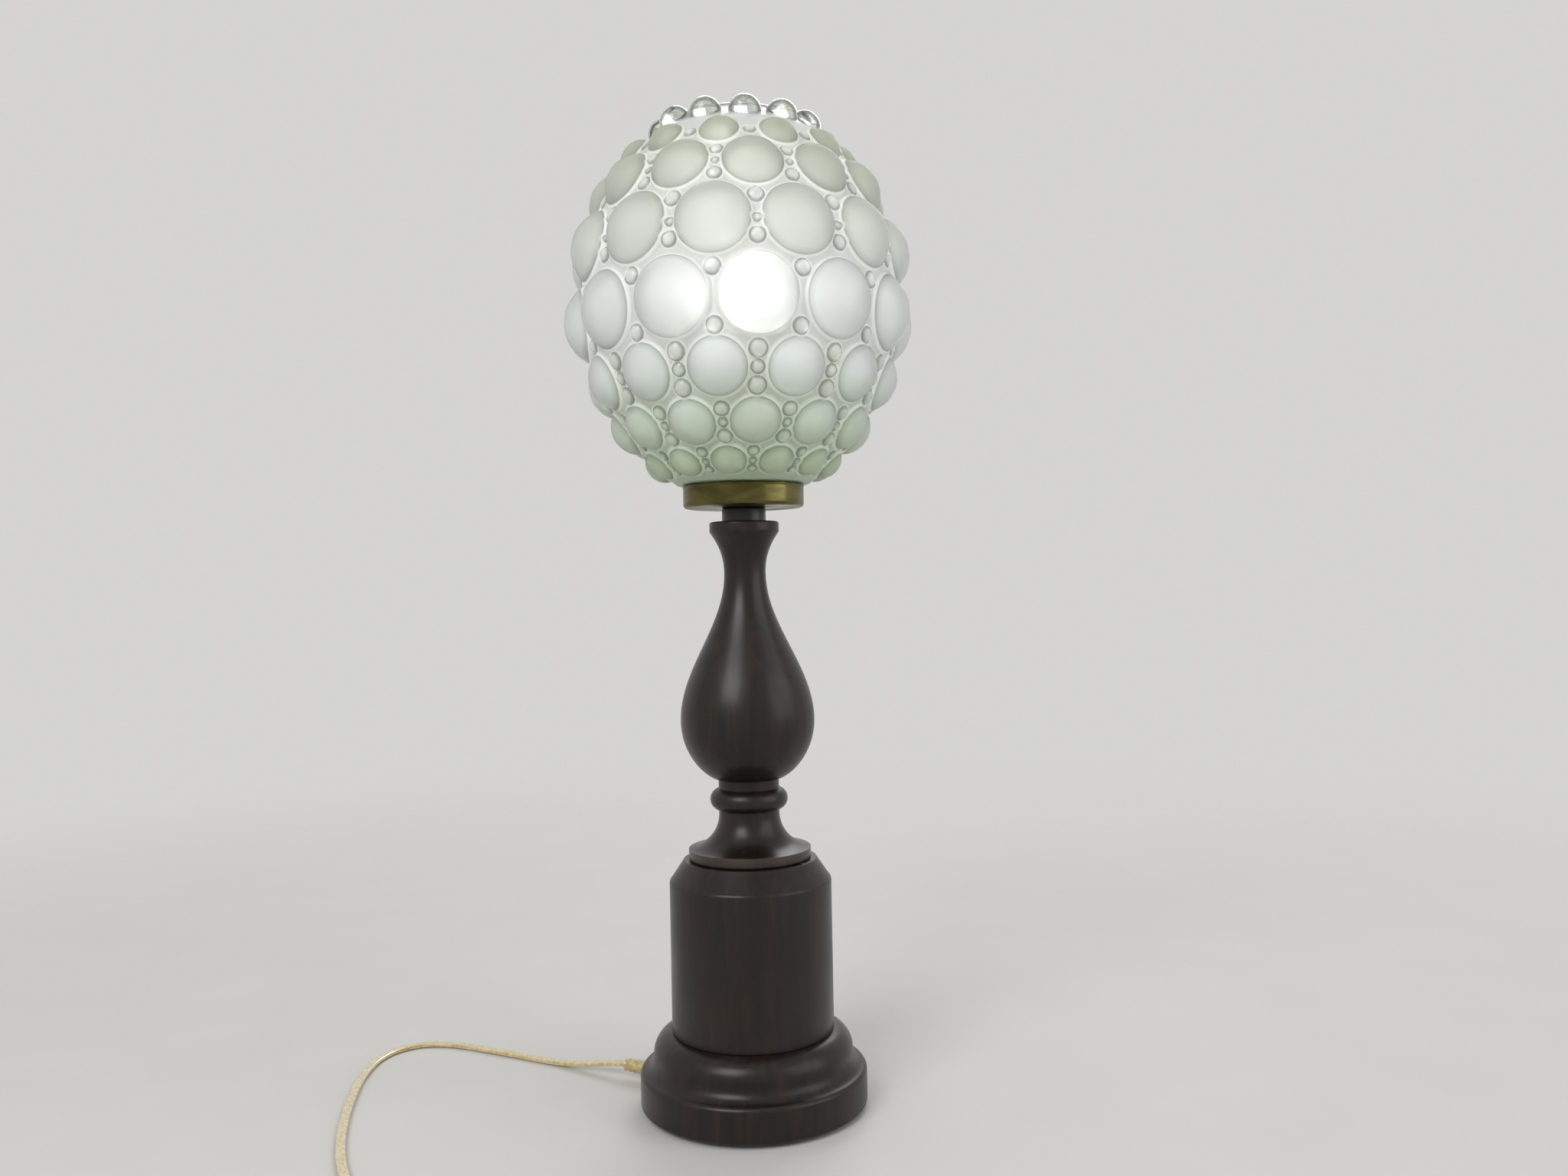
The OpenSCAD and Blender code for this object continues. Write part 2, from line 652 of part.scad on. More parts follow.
module holder_sleeve() {
  r = holder_d / 2;
  lip = 2;
  edge = 1;
  color("#f0ead8") rotate_extrude() polygon([
    [spigot_r + fit_gap, sleeve_z], [r, sleeve_z], [r, sleeve_top - edge], [r - edge, sleeve_top],
    [shell_r + mouth_gap, sleeve_top], [shell_r + mouth_gap, sleeve_top - lip],
    [spigot_r + fit_gap, sleeve_top - lip]]);
}

module screw_shell() {
  rim = 2.5;
  color("goldenrod") rotate_extrude() polygon([
    [shell_r - rim, core_top], [shell_r + contact_t, core_top],
    [shell_r + contact_t, core_top + shell_h], [shell_r, core_top + shell_h],
    [shell_r, core_top + contact_t], [shell_r - rim, core_top + contact_t]]);
}

module centre_contact() {
  width = 6;
  back = -6;
  front = 5;
  fold = -4.6;
  tip = 3.2;
  color("goldenrod") translate([0, width / 2, core_top]) rotate([90, 0, 0]) linear_extrude(width) polygon([
    [back, 0], [front, 0], [front, contact_t], [fold, contact_t],
    [tip, tongue_h - contact_t], [tip, tongue_h], [back, contact_t * 1.5]]);
}

module terminal_screws() {
  head_h = 2.2;
  short = 2;
  color("silver") for (s = [1, -1]) translate(s * terminal_x * flex_across + [0, 0, core_z]) {
    translate([0, 0, -head_h]) cylinder(d = screw_head_d, h = head_h);
    cylinder(d = screw_d, h = core_t - short);
  }
}

// Bulb
module bulb_contact() {
  color("silver") translate([0, 0, bulb_z])
    cylinder(r1 = bulb_contact_r - 1, r2 = bulb_contact_r, h = bulb_contact_h);
}

module bulb_insulator() {
  color("#101010") translate([0, 0, bulb_z + bulb_contact_h])
    cylinder(r1 = bulb_contact_r, r2 = bulb_cap_d / 2 - 1, h = bulb_insulator_h);
}

module bulb_cap() {
  sheet = 0.4;
  edge = 0.6;
  rim = 2.5;
  r = bulb_cap_d / 2;
  color("silver") rotate_extrude() polygon([
    [r - rim, bulb_cap_z], [r - edge, bulb_cap_z], [r, bulb_cap_z + edge], [r, bulb_housing_z],
    [r - sheet, bulb_housing_z], [r - sheet, bulb_cap_z + 2 * sheet],
    [r - 2 * sheet, bulb_cap_z + sheet], [r - rim, bulb_cap_z + sheet]]);
}

module bulb_housing() {
  step = 0.6;
  r0 = bulb_cap_d / 2 + step;
  bow = 1.6;
  steps = 8;
  color("white") rotate_extrude() polygon(concat(
    [for (i = [0 : steps]) let (s = i / steps)
      [r0 + (dome_foot_r - r0) * s + bow * sin(180 * s), bulb_housing_z + bulb_housing_h * s]],
    [for (i = [steps : -1 : 0]) let (s = i / steps)
      [r0 - bulb_t + (dome_foot_r - r0) * s + bow * sin(180 * s), bulb_housing_z + bulb_housing_h * s]]));
}

module bulb_dome() {
  r = bulb_d / 2;
  color("white") rotate_extrude() difference() {
    intersection() {
      translate([0, dome_centre_z]) circle(r = r);
      translate([0, dome_z]) square([r, 2 * r]);
    }
    translate([0, dome_centre_z]) circle(r = r - bulb_t);
  }
}

// Flex and what is on it
module inner_flex() {
  up = [0, 0, 1];
  top = core_z - 14;
  bend_z = flex_z + flex_bend_r;
  color("#b87333") for (s = [1, -1]) {
    lower = [for (q = concat([[relief_tip, flex_z], [recess_d / 2, flex_z], [flex_bend_r + 12, flex_z]],
        arc([flex_bend_r, bend_z], flex_bend_r, 270, 180, 6), [[0, (bend_z + top) / 2], [0, top]]))
      q[0] * flex_side + q[1] * up + s * core_offset * flex_across];
    upper = [for (q = [[2.4, -10], [5.6, -8], [8, -5], [terminal_x, -2.5]])
      s * q[0] * flex_across + (core_z + q[1]) * up];
    sweep(concat(lower, upper), ring_section(core_d / 2, 8), flex_side + flex_across);
  }
}

module cord_relief() {
  flange_r = 5.5;
  flange_t = 2;
  flange_z = relief_start + flange_t;
  wall = 0.8;
  taper = 0.2;
  color("#d8cfae") translate([0, 0, flex_z]) rotate([0, 90, flex_angle]) rotate_extrude() polygon([
    [relief_r - wall, recess_d / 2], [relief_r, recess_d / 2], [relief_r, relief_start],
    [flange_r, relief_start], [flange_r, flange_z], [relief_r + wall, flange_z],
    [relief_r - taper, relief_tip], [relief_r - wall, relief_tip]]);
}

module cord_lead() {
  color("#cdbf8f") sweep(curve(lead_route, 2), flex_section(8));
}

module cord_link() {
  color("#cdbf8f") sweep(curve(link_route, 2), flex_section(8));
}

module cord_coil() {
  color("#cdbf8f") sweep(coil_path, flex_section(6));
}

module cord_tail() {
  color("#cdbf8f") sweep(curve(tail_route, 2), flex_section(8));
}

module cord_tie() {
  band_w = 5;
  room = 0.3;
  low = coil_in_r + coil_pitch / 4 - flex_w / 2 - room;
  high = coil_out_r - coil_pitch / 2 + flex_w / 2 + room;
  tall = 2 * room + coil_climb + flex_t;
  color("#f4f4f0") translate(coil_at + [band_w / 2, 0, tie_t]) rotate([0, -90, 0])
    linear_extrude(band_w) difference() {
      translate([-tie_t, low - tie_t]) square([tall + 2 * tie_t, high - low + 2 * tie_t]);
      translate([0, low]) square([tall, high - low]);
    }
}

// Outline of the switch: two arcs, cut square at the ends, drawn in by inset
module switch_outline(inset) {
  half = switch_l / 2;
  bow = 7;
  r = (half * half + bow * bow) / (2 * bow);
  intersection() {
    translate([r - switch_w / 2, 0]) circle(r = r - inset, $fn = 240);
    translate([switch_w / 2 - r, 0]) circle(r = r - inset, $fn = 240);
    square([switch_w, switch_l - 2 * inset], center = true);
  }
}

// Places its children at the switch's two screws
module at_screws(z) {
  for (s = [1, -1]) translate([0, s * switch_screw_y, z]) children();
}

// The switch's crowned top, drawn in by inset
module switch_crown(inset) {
  translate([0, 0, switch_h - switch_crown_r]) rotate([90, 0, 0])
    cylinder(r = switch_crown_r - inset, h = 2 * switch_l, center = true, $fn = 180);
}

module switch_base() {
  color("whitesmoke") translate(switch_at) difference() {
    linear_extrude(switch_split) switch_outline(0);
    difference() {
      translate([0, 0, switch_t]) linear_extrude(switch_h) switch_outline(switch_t);
      at_screws(0) cylinder(d = screw_boss_d, h = switch_split);
    }
    at_screws(-1) cylinder(r = screw_d / 2 + fit_gap, h = switch_h);
    at_screws(-1) cylinder(r = screw_head_d / 2 + fit_gap, h = screw_sink + screw_head_h + 1);
  }
}

module switch_cover() {
  end_room = 0.8;
  cheek_l = 8;
  pin_end = 0.1;
  thread_l = 4;
  window = [rocker_w + 2 * rocker_gap, rocker_l + 2 * (rocker_gap + end_room), 3 * switch_h];
  cheek = [rocker_cheek_t, cheek_l, switch_h];
  color("whitesmoke") translate(switch_at) difference() {
    intersection() {
      translate([0, 0, switch_split]) linear_extrude(switch_h) switch_outline(0);
      switch_crown(0);
    }
    difference() {
      intersection() {
        linear_extrude(switch_h) switch_outline(switch_t);
        switch_crown(switch_t);
      }
      // Bosses for the screws, and the two cheeks that carry the rocker's pins
      at_screws(switch_split) cylinder(d = screw_boss_d, h = switch_h);
      for (s = [1, -1]) translate([s * (window[0] + rocker_cheek_t) / 2, 0, switch_split + switch_h / 2])
        cube(cheek, center = true);
    }
    cube(window, center = true);
    translate([0, 0, rocker_z]) rotate([0, 90, 0])
      cylinder(d = rocker_pin_d + fit_gap, h = window[0] + 2 * (rocker_cheek_t + pin_end), center = true);
    at_screws(0) cylinder(r = screw_d / 2 + fit_gap, h = switch_split + thread_l);
  }
}

module switch_rocker() {
  hub_r = 3;
  plate_t = 2.2;
  sink = 1.2;
  top = switch_h - rocker_z - sink;
  half = rocker_l / 2;
  lift = half * tan(rocker_tilt);
  color("white") translate(switch_at + [0, 0, rocker_z]) rotate([-rocker_tilt, 0, 0]) rotate([90, 0, 90]) {
    linear_extrude(rocker_w, center = true) union() {
      circle(r = hub_r);
      polygon([[-hub_r, 0], [hub_r, 0], [hub_r, top - plate_t], [half, top + lift - plate_t],
        [half, top + lift], [0, top], [-half, top + lift], [-half, top + lift - plate_t],
        [-hub_r, top - plate_t]]);
    }
    cylinder(d = rocker_pin_d, h = rocker_w + rocker_gap + 2 * rocker_cheek_t, center = true);
  }
}

module switch_screws() {
  reach = 3;
  color("silver") translate(switch_at) {
    at_screws(screw_sink) cylinder(d = screw_head_d, h = screw_head_h);
    at_screws(screw_sink) cylinder(d = screw_d, h = switch_split + reach);
  }
}

// The plug's own axis runs along Z here, from its sleeve's tip
module on_plug() {
  translate(plug_tip) rotate([0, 90 - plug_lean, 0]) children();
}

module plug_sleeve() {
  color("white") on_plug() cylinder(r1 = sleeve_tip_r, r2 = sleeve_end_r, h = sleeve_l);
}

module plug_body() {
  edge = 1.5;
  back_r = 2;
  neck_r = 5;
  face = plug_d / 2;
  grip = 11;
  hollow = 3;
  color("white") on_plug() difference() {
    translate([0, 0, sleeve_l]) rotate_extrude() polygon(concat(
      [[0, 0]],
      arc([sleeve_end_r + 1, back_r], back_r, -90, 0, 4),
      [[grip, plug_back - neck_r - hollow]],
      arc([grip + neck_r, plug_back - neck_r], neck_r, 180, 90, 5),
      arc([face - edge, plug_back + edge], edge, -90, 0, 4),
      arc([face - edge, plug_l - edge], edge, 0, 90, 4),
      [[0, plug_l]]));
    for (s = [1, -1]) translate([0, s * pin_pitch / 2, pin_z])
      cylinder(r = pin_d / 2 + fit_gap / 2, h = pin_seat + 1);
  }
}

module plug_pins() {
  tip = 1;
  color("silver") on_plug() for (s = [1, -1]) translate([0, s * pin_pitch / 2, pin_z])
    rotate_extrude() polygon(concat(
      [[0, 0], [pin_d / 2, 0]],
      arc([pin_d / 2 - tip, pin_seat + pin_l - tip], tip, 0, 90, 4),
      [[0, pin_seat + pin_l]]));
}

base_felt();
foot();
drum();
baluster();
threaded_tube();
base_washer();
base_nut();
neck_spacer();
gallery();
gallery_nut();
globe_gasket();
globe_neck();
globe_cup();
globe_belly();
globe_flank();
globe_dome();
globe_bubbles();
globe_crown();
holder_base();
holder_core();
holder_sleeve();
screw_shell();
centre_contact();
terminal_screws();
bulb_contact();
bulb_insulator();
bulb_cap();
bulb_housing();
bulb_dome();
inner_flex();
cord_relief();
cord_lead();
switch_base();
switch_cover();
switch_rocker();
switch_screws();
cord_link();
cord_coil();
cord_tie();
cord_tail();
plug_sleeve();
plug_body();
plug_pins();
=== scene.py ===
import bmesh
import bpy
import json
from math import acos, asin, atan2, cos, degrees, pi, radians, sin, sqrt
from mathutils import Matrix, Vector


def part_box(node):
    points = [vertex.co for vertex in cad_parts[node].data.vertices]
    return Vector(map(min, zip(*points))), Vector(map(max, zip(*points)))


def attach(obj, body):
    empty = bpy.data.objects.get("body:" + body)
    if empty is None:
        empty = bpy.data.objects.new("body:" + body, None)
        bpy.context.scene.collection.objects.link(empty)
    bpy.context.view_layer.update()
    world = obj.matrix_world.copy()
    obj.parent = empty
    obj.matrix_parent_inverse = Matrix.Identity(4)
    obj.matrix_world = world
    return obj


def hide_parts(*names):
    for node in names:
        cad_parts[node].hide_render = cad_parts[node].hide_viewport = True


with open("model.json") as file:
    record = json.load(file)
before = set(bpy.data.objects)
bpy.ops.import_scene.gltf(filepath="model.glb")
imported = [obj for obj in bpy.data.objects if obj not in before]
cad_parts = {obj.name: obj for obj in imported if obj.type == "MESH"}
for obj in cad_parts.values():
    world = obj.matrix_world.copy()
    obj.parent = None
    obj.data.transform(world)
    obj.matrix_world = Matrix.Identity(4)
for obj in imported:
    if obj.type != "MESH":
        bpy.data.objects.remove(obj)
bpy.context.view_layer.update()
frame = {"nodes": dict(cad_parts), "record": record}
scene = bpy.context.scene
nodeBody = {node: body for body, nodes in frame["record"]["behaviour"]["bodies"].items() for node in nodes}
print("frame loaded:", len(nodeBody), "nodes")

# Camera, as far off and as high as the photo's, led round the lamp until its bubbles face the same way
cameraSet = {
    "place": (-0.0783, -0.7161, 0.2919),   # metres
    "turn": -8,                            # degrees, it stands to the left and looks to the right
    "roll": 1.07,                          # degrees, the picture leans a little to the left
    "focal": 29.0,                         # mm
    "sensor": 36.0,                        # mm, its width
    "nearest": 0.01,                       # metres, what is closer isn't drawn
}
camera = bpy.data.objects.new("camera", bpy.data.cameras.new("camera"))
camera.data.lens = cameraSet["focal"]
camera.data.sensor_width = cameraSet["sensor"]
camera.data.clip_start = cameraSet["nearest"]
camera.location = cameraSet["place"]
camera.rotation_euler = (pi / 2, radians(cameraSet["roll"]), radians(cameraSet["turn"]))
scene.collection.objects.link(camera)
scene.camera = camera
scene.view_settings.view_transform = "Standard"
print("camera set")


# Shader helpers: noise on object coordinates, ramps and bumps
def newMaterial(name):
    material = bpy.data.materials.new(name)
    material.use_nodes = True
    tree = material.node_tree
    return material, tree, tree.nodes["Principled BSDF"]


def setSockets(shader, **values):    # baseColor=... sets the socket "Base Color"
    for key, value in values.items():
        words = "".join(" " + c if c.isupper() else c for c in key).title()
        shader.inputs[words.replace("Ior", "IOR")].default_value = value


def objectPoint(tree, stretch=(1, 1, 1)):
    coords = tree.nodes.new("ShaderNodeTexCoord")
    mapping = tree.nodes.new("ShaderNodeMapping")
    mapping.inputs["Scale"].default_value = stretch
    tree.links.new(coords.outputs["Object"], mapping.inputs["Vector"])
    return mapping.outputs["Vector"]


def noise(tree, scale, detail, stretch=(1, 1, 1), distortion=0):
    node = tree.nodes.new("ShaderNodeTexNoise")
    node.inputs["Scale"].default_value = scale
    node.inputs["Detail"].default_value = detail
    node.inputs["Distortion"].default_value = distortion
    tree.links.new(objectPoint(tree, stretch), node.inputs["Vector"])
    return node.outputs["Fac"]


def ramp(tree, factor, *stops):      # each stop is (place, grey) or (place, (r, g, b))
    node = tree.nodes.new("ShaderNodeValToRGB")
    while len(node.color_ramp.elements) < len(stops):
        node.color_ramp.elements.new(1)
    for element, (place, colour) in zip(node.color_ramp.elements, stops):
        element.position = place
        element.color = (*colour, 1) if isinstance(colour, tuple) else (colour, colour, colour, 1)
    tree.links.new(factor, node.inputs["Fac"])
    return node.outputs["Color"]


def mixColours(tree, factor, first, second):
    node = tree.nodes.new("ShaderNodeMix")
    node.data_type = "RGBA"
    tree.links.new(factor, node.inputs[0])
    tree.links.new(first, node.inputs[6])
    tree.links.new(second, node.inputs[7])
    return node.outputs[2]


def addBump(tree, shader, height, strength, distance):
    node = tree.nodes.new("ShaderNodeBump")
    node.inputs["Strength"].default_value = strength
    node.inputs["Distance"].default_value = distance
    tree.links.new(height, node.inputs["Height"])
    tree.links.new(node.outputs["Normal"], shader.inputs["Normal"])


def pointiness(tree):
    return tree.nodes.new("ShaderNodeNewGeometry").outputs["Pointiness"]


# Mesh helpers
meshSet = {
    "weld": 1e-6,          # metres, points closer than this become one
    "copyWeld": 2e-6,      # the same in a copy of a CAD node
    "flat": 0.5,           # degrees, faces of a copy that are this nearly level are joined
    "corner": 30,          # degrees, edges of a copy that are sharper than this are broken
    "hard": 40,            # degrees, edges sharper than this are drawn hard
    "copyHard": 50,        # the same in a copy
}


def arc(x, z, r, start, end, steps):    # points of an outline along part of a circle
    angles = [radians(start + (end - start) * i / steps) for i in range(steps + 1)]
    return [(x + r * cos(a), z + r * sin(a)) for a in angles]


def turn(outline, steps, closed=True):    # spins an outline of (radius, height) round the lamp's axis
    bm = bmesh.new()
    ring = [bm.verts.new((r, 0, z)) for r, z in outline]
    edges = [bm.edges.new((ring[i - 1], ring[i])) for i in range(0 if closed else 1, len(ring))]
    bmesh.ops.spin(bm, geom=ring + edges, cent=(0, 0, 0), axis=(0, 0, 1), angle=2 * pi, steps=steps,
                   use_merge=True)
    bmesh.ops.remove_doubles(bm, verts=bm.verts, dist=meshSet["weld"])
    bmesh.ops.recalc_face_normals(bm, faces=bm.faces)
    return bm


def addPiece(name, bm, material, body, nodes=(), sharp=meshSet["hard"]):
    mesh = bpy.data.meshes.new(name)
    bm.to_mesh(mesh)
    bm.free()
    return addMesh(name, mesh, material, body, nodes, sharp)


def addMesh(name, mesh, material, body, nodes=(), sharp=meshSet["hard"]):
    mesh.shade_smooth()
    mesh.set_sharp_from_angle(angle=radians(sharp))
    mesh.materials.clear()
    mesh.materials.append(material)
    piece = bpy.data.objects.new(name, mesh)
    scene.collection.objects.link(piece)
    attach(piece, body)
    if nodes:
        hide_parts(*nodes)
    return piece


def softCopy(node, material, bevel, segments=2):    # a CAD node with its edges broken
    bm = bmesh.new()
    bm.from_mesh(frame["nodes"][node].data)
    bmesh.ops.remove_doubles(bm, verts=bm.verts, dist=meshSet["copyWeld"])
    bmesh.ops.dissolve_limit(bm, angle_limit=radians(meshSet["flat"]), verts=bm.verts, edges=bm.edges)
    least = radians(meshSet["corner"])
    corners = [e for e in bm.edges if len(e.link_faces) == 2 and e.calc_face_angle(0) > least]
    if bevel:
        bmesh.ops.bevel(bm, geom=corners, offset=bevel, offset_type="OFFSET", affect="EDGES",
                        segments=segments, profile=0.5, material=-1, clamp_overlap=True)
    return addPiece(node + "_finished", bm, material, nodeBody[node], [node], meshSet["copyHard"])


# Finishes, with the stops of their ramps
woodSet = {
    "grain": ((0.30, (0.0050, 0.0032, 0.0024)), (0.52, (0.0105, 0.0060, 0.0042)),
              (0.72, (0.022, 0.0110, 0.0070))),
    "worn": ((0.35, (0.035, 0.025, 0.020)), (0.7, (0.095, 0.072, 0.056))),    # colour of rubbed edges
    "onEdge": ((0.51, 0.0), (0.57, 0.85)),
    "roughness": ((0.3, 0.30), (0.75, 0.44)),
}


def darkWood():
    material, tree, shader = newMaterial("dark wood")
    grain = noise(tree, 3.2, 8, (42, 42, 3.4), 0.9)
    pores = noise(tree, 9, 3, (110, 110, 6))
    plain = ramp(tree, grain, *woodSet["grain"])
    worn = ramp(tree, noise(tree, 40, 5), *woodSet["worn"])
    onEdge = ramp(tree, pointiness(tree), *woodSet["onEdge"])
    tree.links.new(mixColours(tree, onEdge, plain, worn), shader.inputs["Base Color"])
    tree.links.new(ramp(tree, noise(tree, 26, 6), *woodSet["roughness"]), shader.inputs["Roughness"])
    setSockets(shader, specularIorLevel=0.3, coatWeight=0.12, coatRoughness=0.2)
    addBump(tree, shader, pores, 0.10, 0.0004)
    return material


brassSet = {
    "stain": ((0.30, (0.045, 0.039, 0.013)), (0.50, (0.094, 0.079, 0.027)), (0.72, (0.18, 0.152, 0.058))),
    "roughness": ((0.30, 0.44), (0.70, 0.22)),
}


def agedBrass():
    material, tree, shader = newMaterial("aged brass")
    stain = noise(tree, 34, 7, (1, 1, 2.2), 0.6)
    fine = noise(tree, 260, 4, (1, 1, 6))
    tree.links.new(ramp(tree, stain, *brassSet["stain"]), shader.inputs["Base Color"])
    tree.links.new(ramp(tree, stain, *brassSet["roughness"]), shader.inputs["Roughness"])
    setSockets(shader, metallic=1.0)
    addBump(tree, shader, fine, 0.04, 0.0003)
    return material


def platedMetal(name, dull, bright, roughness):
    material, tree, shader = newMaterial(name)
    cloud = noise(tree, 90, 5)
    tree.links.new(ramp(tree, cloud, (0.3, dull), (0.7, bright)), shader.inputs["Base Color"])
    tree.links.new(ramp(tree, noise(tree, 400, 3), (0.3, roughness), (0.7, roughness * 0.6)),
                   shader.inputs["Roughness"])
    setSockets(shader, metallic=1.0)
    return material


def mouldedPlastic(name, deep, light, roughness, grain=700, bump=0.06):
    material, tree, shader = newMaterial(name)
    tree.links.new(ramp(tree, noise(tree, 30, 5), (0.3, deep), (0.7, light)), shader.inputs["Base Color"])
    tree.links.new(ramp(tree, noise(tree, 60, 4), (0.3, roughness), (0.7, roughness * 0.75)),
                   shader.inputs["Roughness"])
    addBump(tree, shader, noise(tree, grain, 3), bump, 0.0002)
    return material


def feltCloth():
    material, tree, shader = newMaterial("felt")
    fibre = noise(tree, 900, 6, (1, 1, 1), 2.0)
    tree.links.new(ramp(tree, fibre, (0.3, (0.012, 0.020, 0.016)), (0.7, (0.038, 0.052, 0.042))),
                   shader.inputs["Base Color"])
    setSockets(shader, roughness=0.95, sheenWeight=0.4)
    addBump(tree, shader, fibre, 0.5, 0.0006)
    return material


def clearFlex():
    material, tree, shader = newMaterial("clear flex")
    strands = noise(tree, 420, 4, (1, 1, 1), 0.8)
    tree.links.new(ramp(tree, strands, (0.3, (0.50, 0.36, 0.13)), (0.55, (0.70, 0.56, 0.27)),
                        (0.75, (0.86, 0.77, 0.50))), shader.inputs["Base Color"])
    setSockets(shader, roughness=0.24, transmissionWeight=0.25, ior=1.47, coatWeight=0.5, coatRoughness=0.1)
    return material


def attribute(tree, name):
    node = tree.nodes.new("ShaderNodeAttribute")
    node.attribute_name = name
    return node.outputs["Fac"]


sageSet = {
    # up the globe, from the neck's foot (0) to the mouth (1)
    # the tint and pale ramps are lightest round the bulb's height and darker above and below it: painted glow
    # of the bulb over the glass's own sage tint
    "tint": ((0.08, (0.75, 0.83, 0.68)), (0.32, (0.91, 0.96, 0.955)), (0.55, (0.88, 0.89, 0.885)),
             (0.80, (0.70, 0.725, 0.67)), (0.95, (0.65, 0.68, 0.56))),
    "pale": ((0.05, (0.72, 0.81, 0.67)), (0.42, (0.98, 0.98, 0.975)), (0.70, (0.97, 0.97, 0.96)),
             (0.92, (0.84, 0.855, 0.78))),
    # the web and deep ramps turn darker and greener towards the neck's foot: painted shade below the bulb
    # over the sage tint
    "web": ((0.0, (0.58, 0.68, 0.53)), (0.4, (0.80, 0.81, 0.80))),
    "deep": ((0.0, (0.32, 0.43, 0.28)), (0.4, (0.46, 0.495, 0.45))),
    "onMouth": ((0.935, 0.0), (0.960, 1.0)),    # clear behind the crown
    # across a bubble's edge: 0.5 on it, less on the bubble's face, more on the web
    "onWeb": ((0.50, 0.0), (0.54, 0.25), (0.66, 1.0)),
    # a painted shadow: the deep colour in a thin line just inside each bubble's edge
    "onShadowLine": ((0.22, 0.0), (0.39, 0.35), (0.46, 0.9), (0.487, 0.0)),
    # a painted highlight: the pale colour in a ring on each bubble's edge
    "onHighlightRing": ((0.475, 0.0), (0.50, 1.0), (0.545, 1.0), (0.59, 0.0)),
    "satin": ((0.42, 0.58), (0.50, 0.36), (0.60, 0.50)),
    "through": ((0.44, 0.64), (0.50, 0.14), (0.55, 0.18), (0.62, 0.40)),
    "swell": ((0.45, 0.0), (0.52, 1.0), (0.56, 1.0), (0.64, 0.4)),
    # across a small bead's edge: 0.5 on it, less inside
    # a painted highlight: the pale colour in a ring on each small bead's edge
    "onBeadHighlightRing": ((0.50, 0.0), (0.58, 1.0), (0.72, 1.0), (0.86, 0.0)),
    # painted shade: the deep colour in a dark outline just inside each small bead's edge
    "onBeadShadeOutline": ((0.16, 0.0), (0.34, 0.9), (0.48, 0.9), (0.55, 0.0)),
    # a painted highlight: the pale colour as a spot at each small bead's middle
    "onBeadHighlightSpot": ((0.04, 0.5), (0.16, 0.0)),
    "offBead": ((0.48, 0.0), (0.60, 1.0)),
    "polished": ((0.0, 0.03), (0.6, 0.08)),
    "cloud": ((0.3, 0.0), (0.7, 0.15)),         # how much of the pale colour drifts over the tint
}


def sageGlass():
    material, tree, shader = newMaterial("sage glass")
    place = tree.nodes.new("ShaderNodeSeparateXYZ")
    tree.links.new(objectPoint(tree), place.inputs["Vector"])
    level = tree.nodes.new("ShaderNodeMapRange")
    level.inputs["From Min"].default_value = globeLow.z
    level.inputs["From Max"].default_value = globeHigh.z
    tree.links.new(place.outputs["Z"], level.inputs["Value"])

    def ramps(factor, *keys):
        return [ramp(tree, factor, *sageSet[key]) for key in keys]

    # the height ramps paint the bulb's glow and the shade below it over the glass's sage tint
    tint, pale, web, deep, onMouth = ramps(level.outputs["Result"], "tint", "pale", "web", "deep", "onMouth")
    onWeb, onShadowLine, onHighlightRing = ramps(attribute(tree, "rim"), "onWeb", "onShadowLine", "onHighlightRing")
    satin, through, swell = ramps(attribute(tree, "rim"), "satin", "through", "swell")
    onBeadHighlightRing, onBeadShadeOutline, onBeadHighlightSpot = ramps(attribute(tree, "bead"), "onBeadHighlightRing", "onBeadShadeOutline", "onBeadHighlightSpot")
    offBead, polished = ramps(attribute(tree, "bead"), "offBead", "polished")
    cloud = ramp(tree, noise(tree, 18, 4), *sageSet["cloud"])
    webbed = mixColours(tree, onWeb, mixColours(tree, cloud, tint, pale), web)
    # painted highlight ring: the pale colour on each bubble's edge
    # painted shadow line: the deep colour just inside each bubble's edge
    lined = mixColours(tree, onHighlightRing, mixColours(tree, onShadowLine, webbed, deep), pale)
    # painted highlight ring: the pale colour on each small bead's edge
    # painted shade: the deep colour in a dark outline inside each small bead's edge
    ringed = mixColours(tree, onBeadShadeOutline, mixColours(tree, onBeadHighlightRing, lined, pale), deep)
    # painted highlight spot: the pale colour at each small bead's middle
    tree.links.new(mixColours(tree, onBeadHighlightSpot, ringed, pale), shader.inputs["Base Color"])
    finish = mixColours(tree, offBead, polished, satin)
    tree.links.new(mixColours(tree, onMouth, finish, polished), shader.inputs["Roughness"])
    tree.links.new(mixColours(tree, onMouth, through, onMouth), shader.inputs["Transmission Weight"])
    setSockets(shader, ior=1.42, subsurfaceWeight=1.0, subsurfaceRadius=(1.0, 1.0, 0.95),
               subsurfaceScale=0.004)
    addBump(tree, shader, swell, 0.5, 0.0006)
    return material


def clearGlass():
    material, tree, shader = newMaterial("clear glass")
    cords = noise(tree, 60, 4)
    cast = ramp(tree, cords, (0.3, (0.93, 0.96, 0.92)), (0.7, (0.99, 1.0, 0.99)))
    # the dark colour painted as shade in an arc inside each ball's edge
    edge = ramp(tree, cords, (0.3, (0.22, 0.25, 0.22)), (0.7, (0.30, 0.33, 0.30)))
    facing = tree.nodes.new("ShaderNodeLayerWeight")    # a ball of glass shows a dark arc inside its edge; here it is painted shade in the base colour
    thick = ramp(tree, facing.outputs["Facing"], (0.26, 0.0), (0.42, 1.0), (0.58, 1.0), (0.70, 0.0))
    tree.links.new(mixColours(tree, thick, cast, edge), shader.inputs["Base Color"])
    setSockets(shader, roughness=0.02, transmissionWeight=1.0, ior=1.47)
    return material


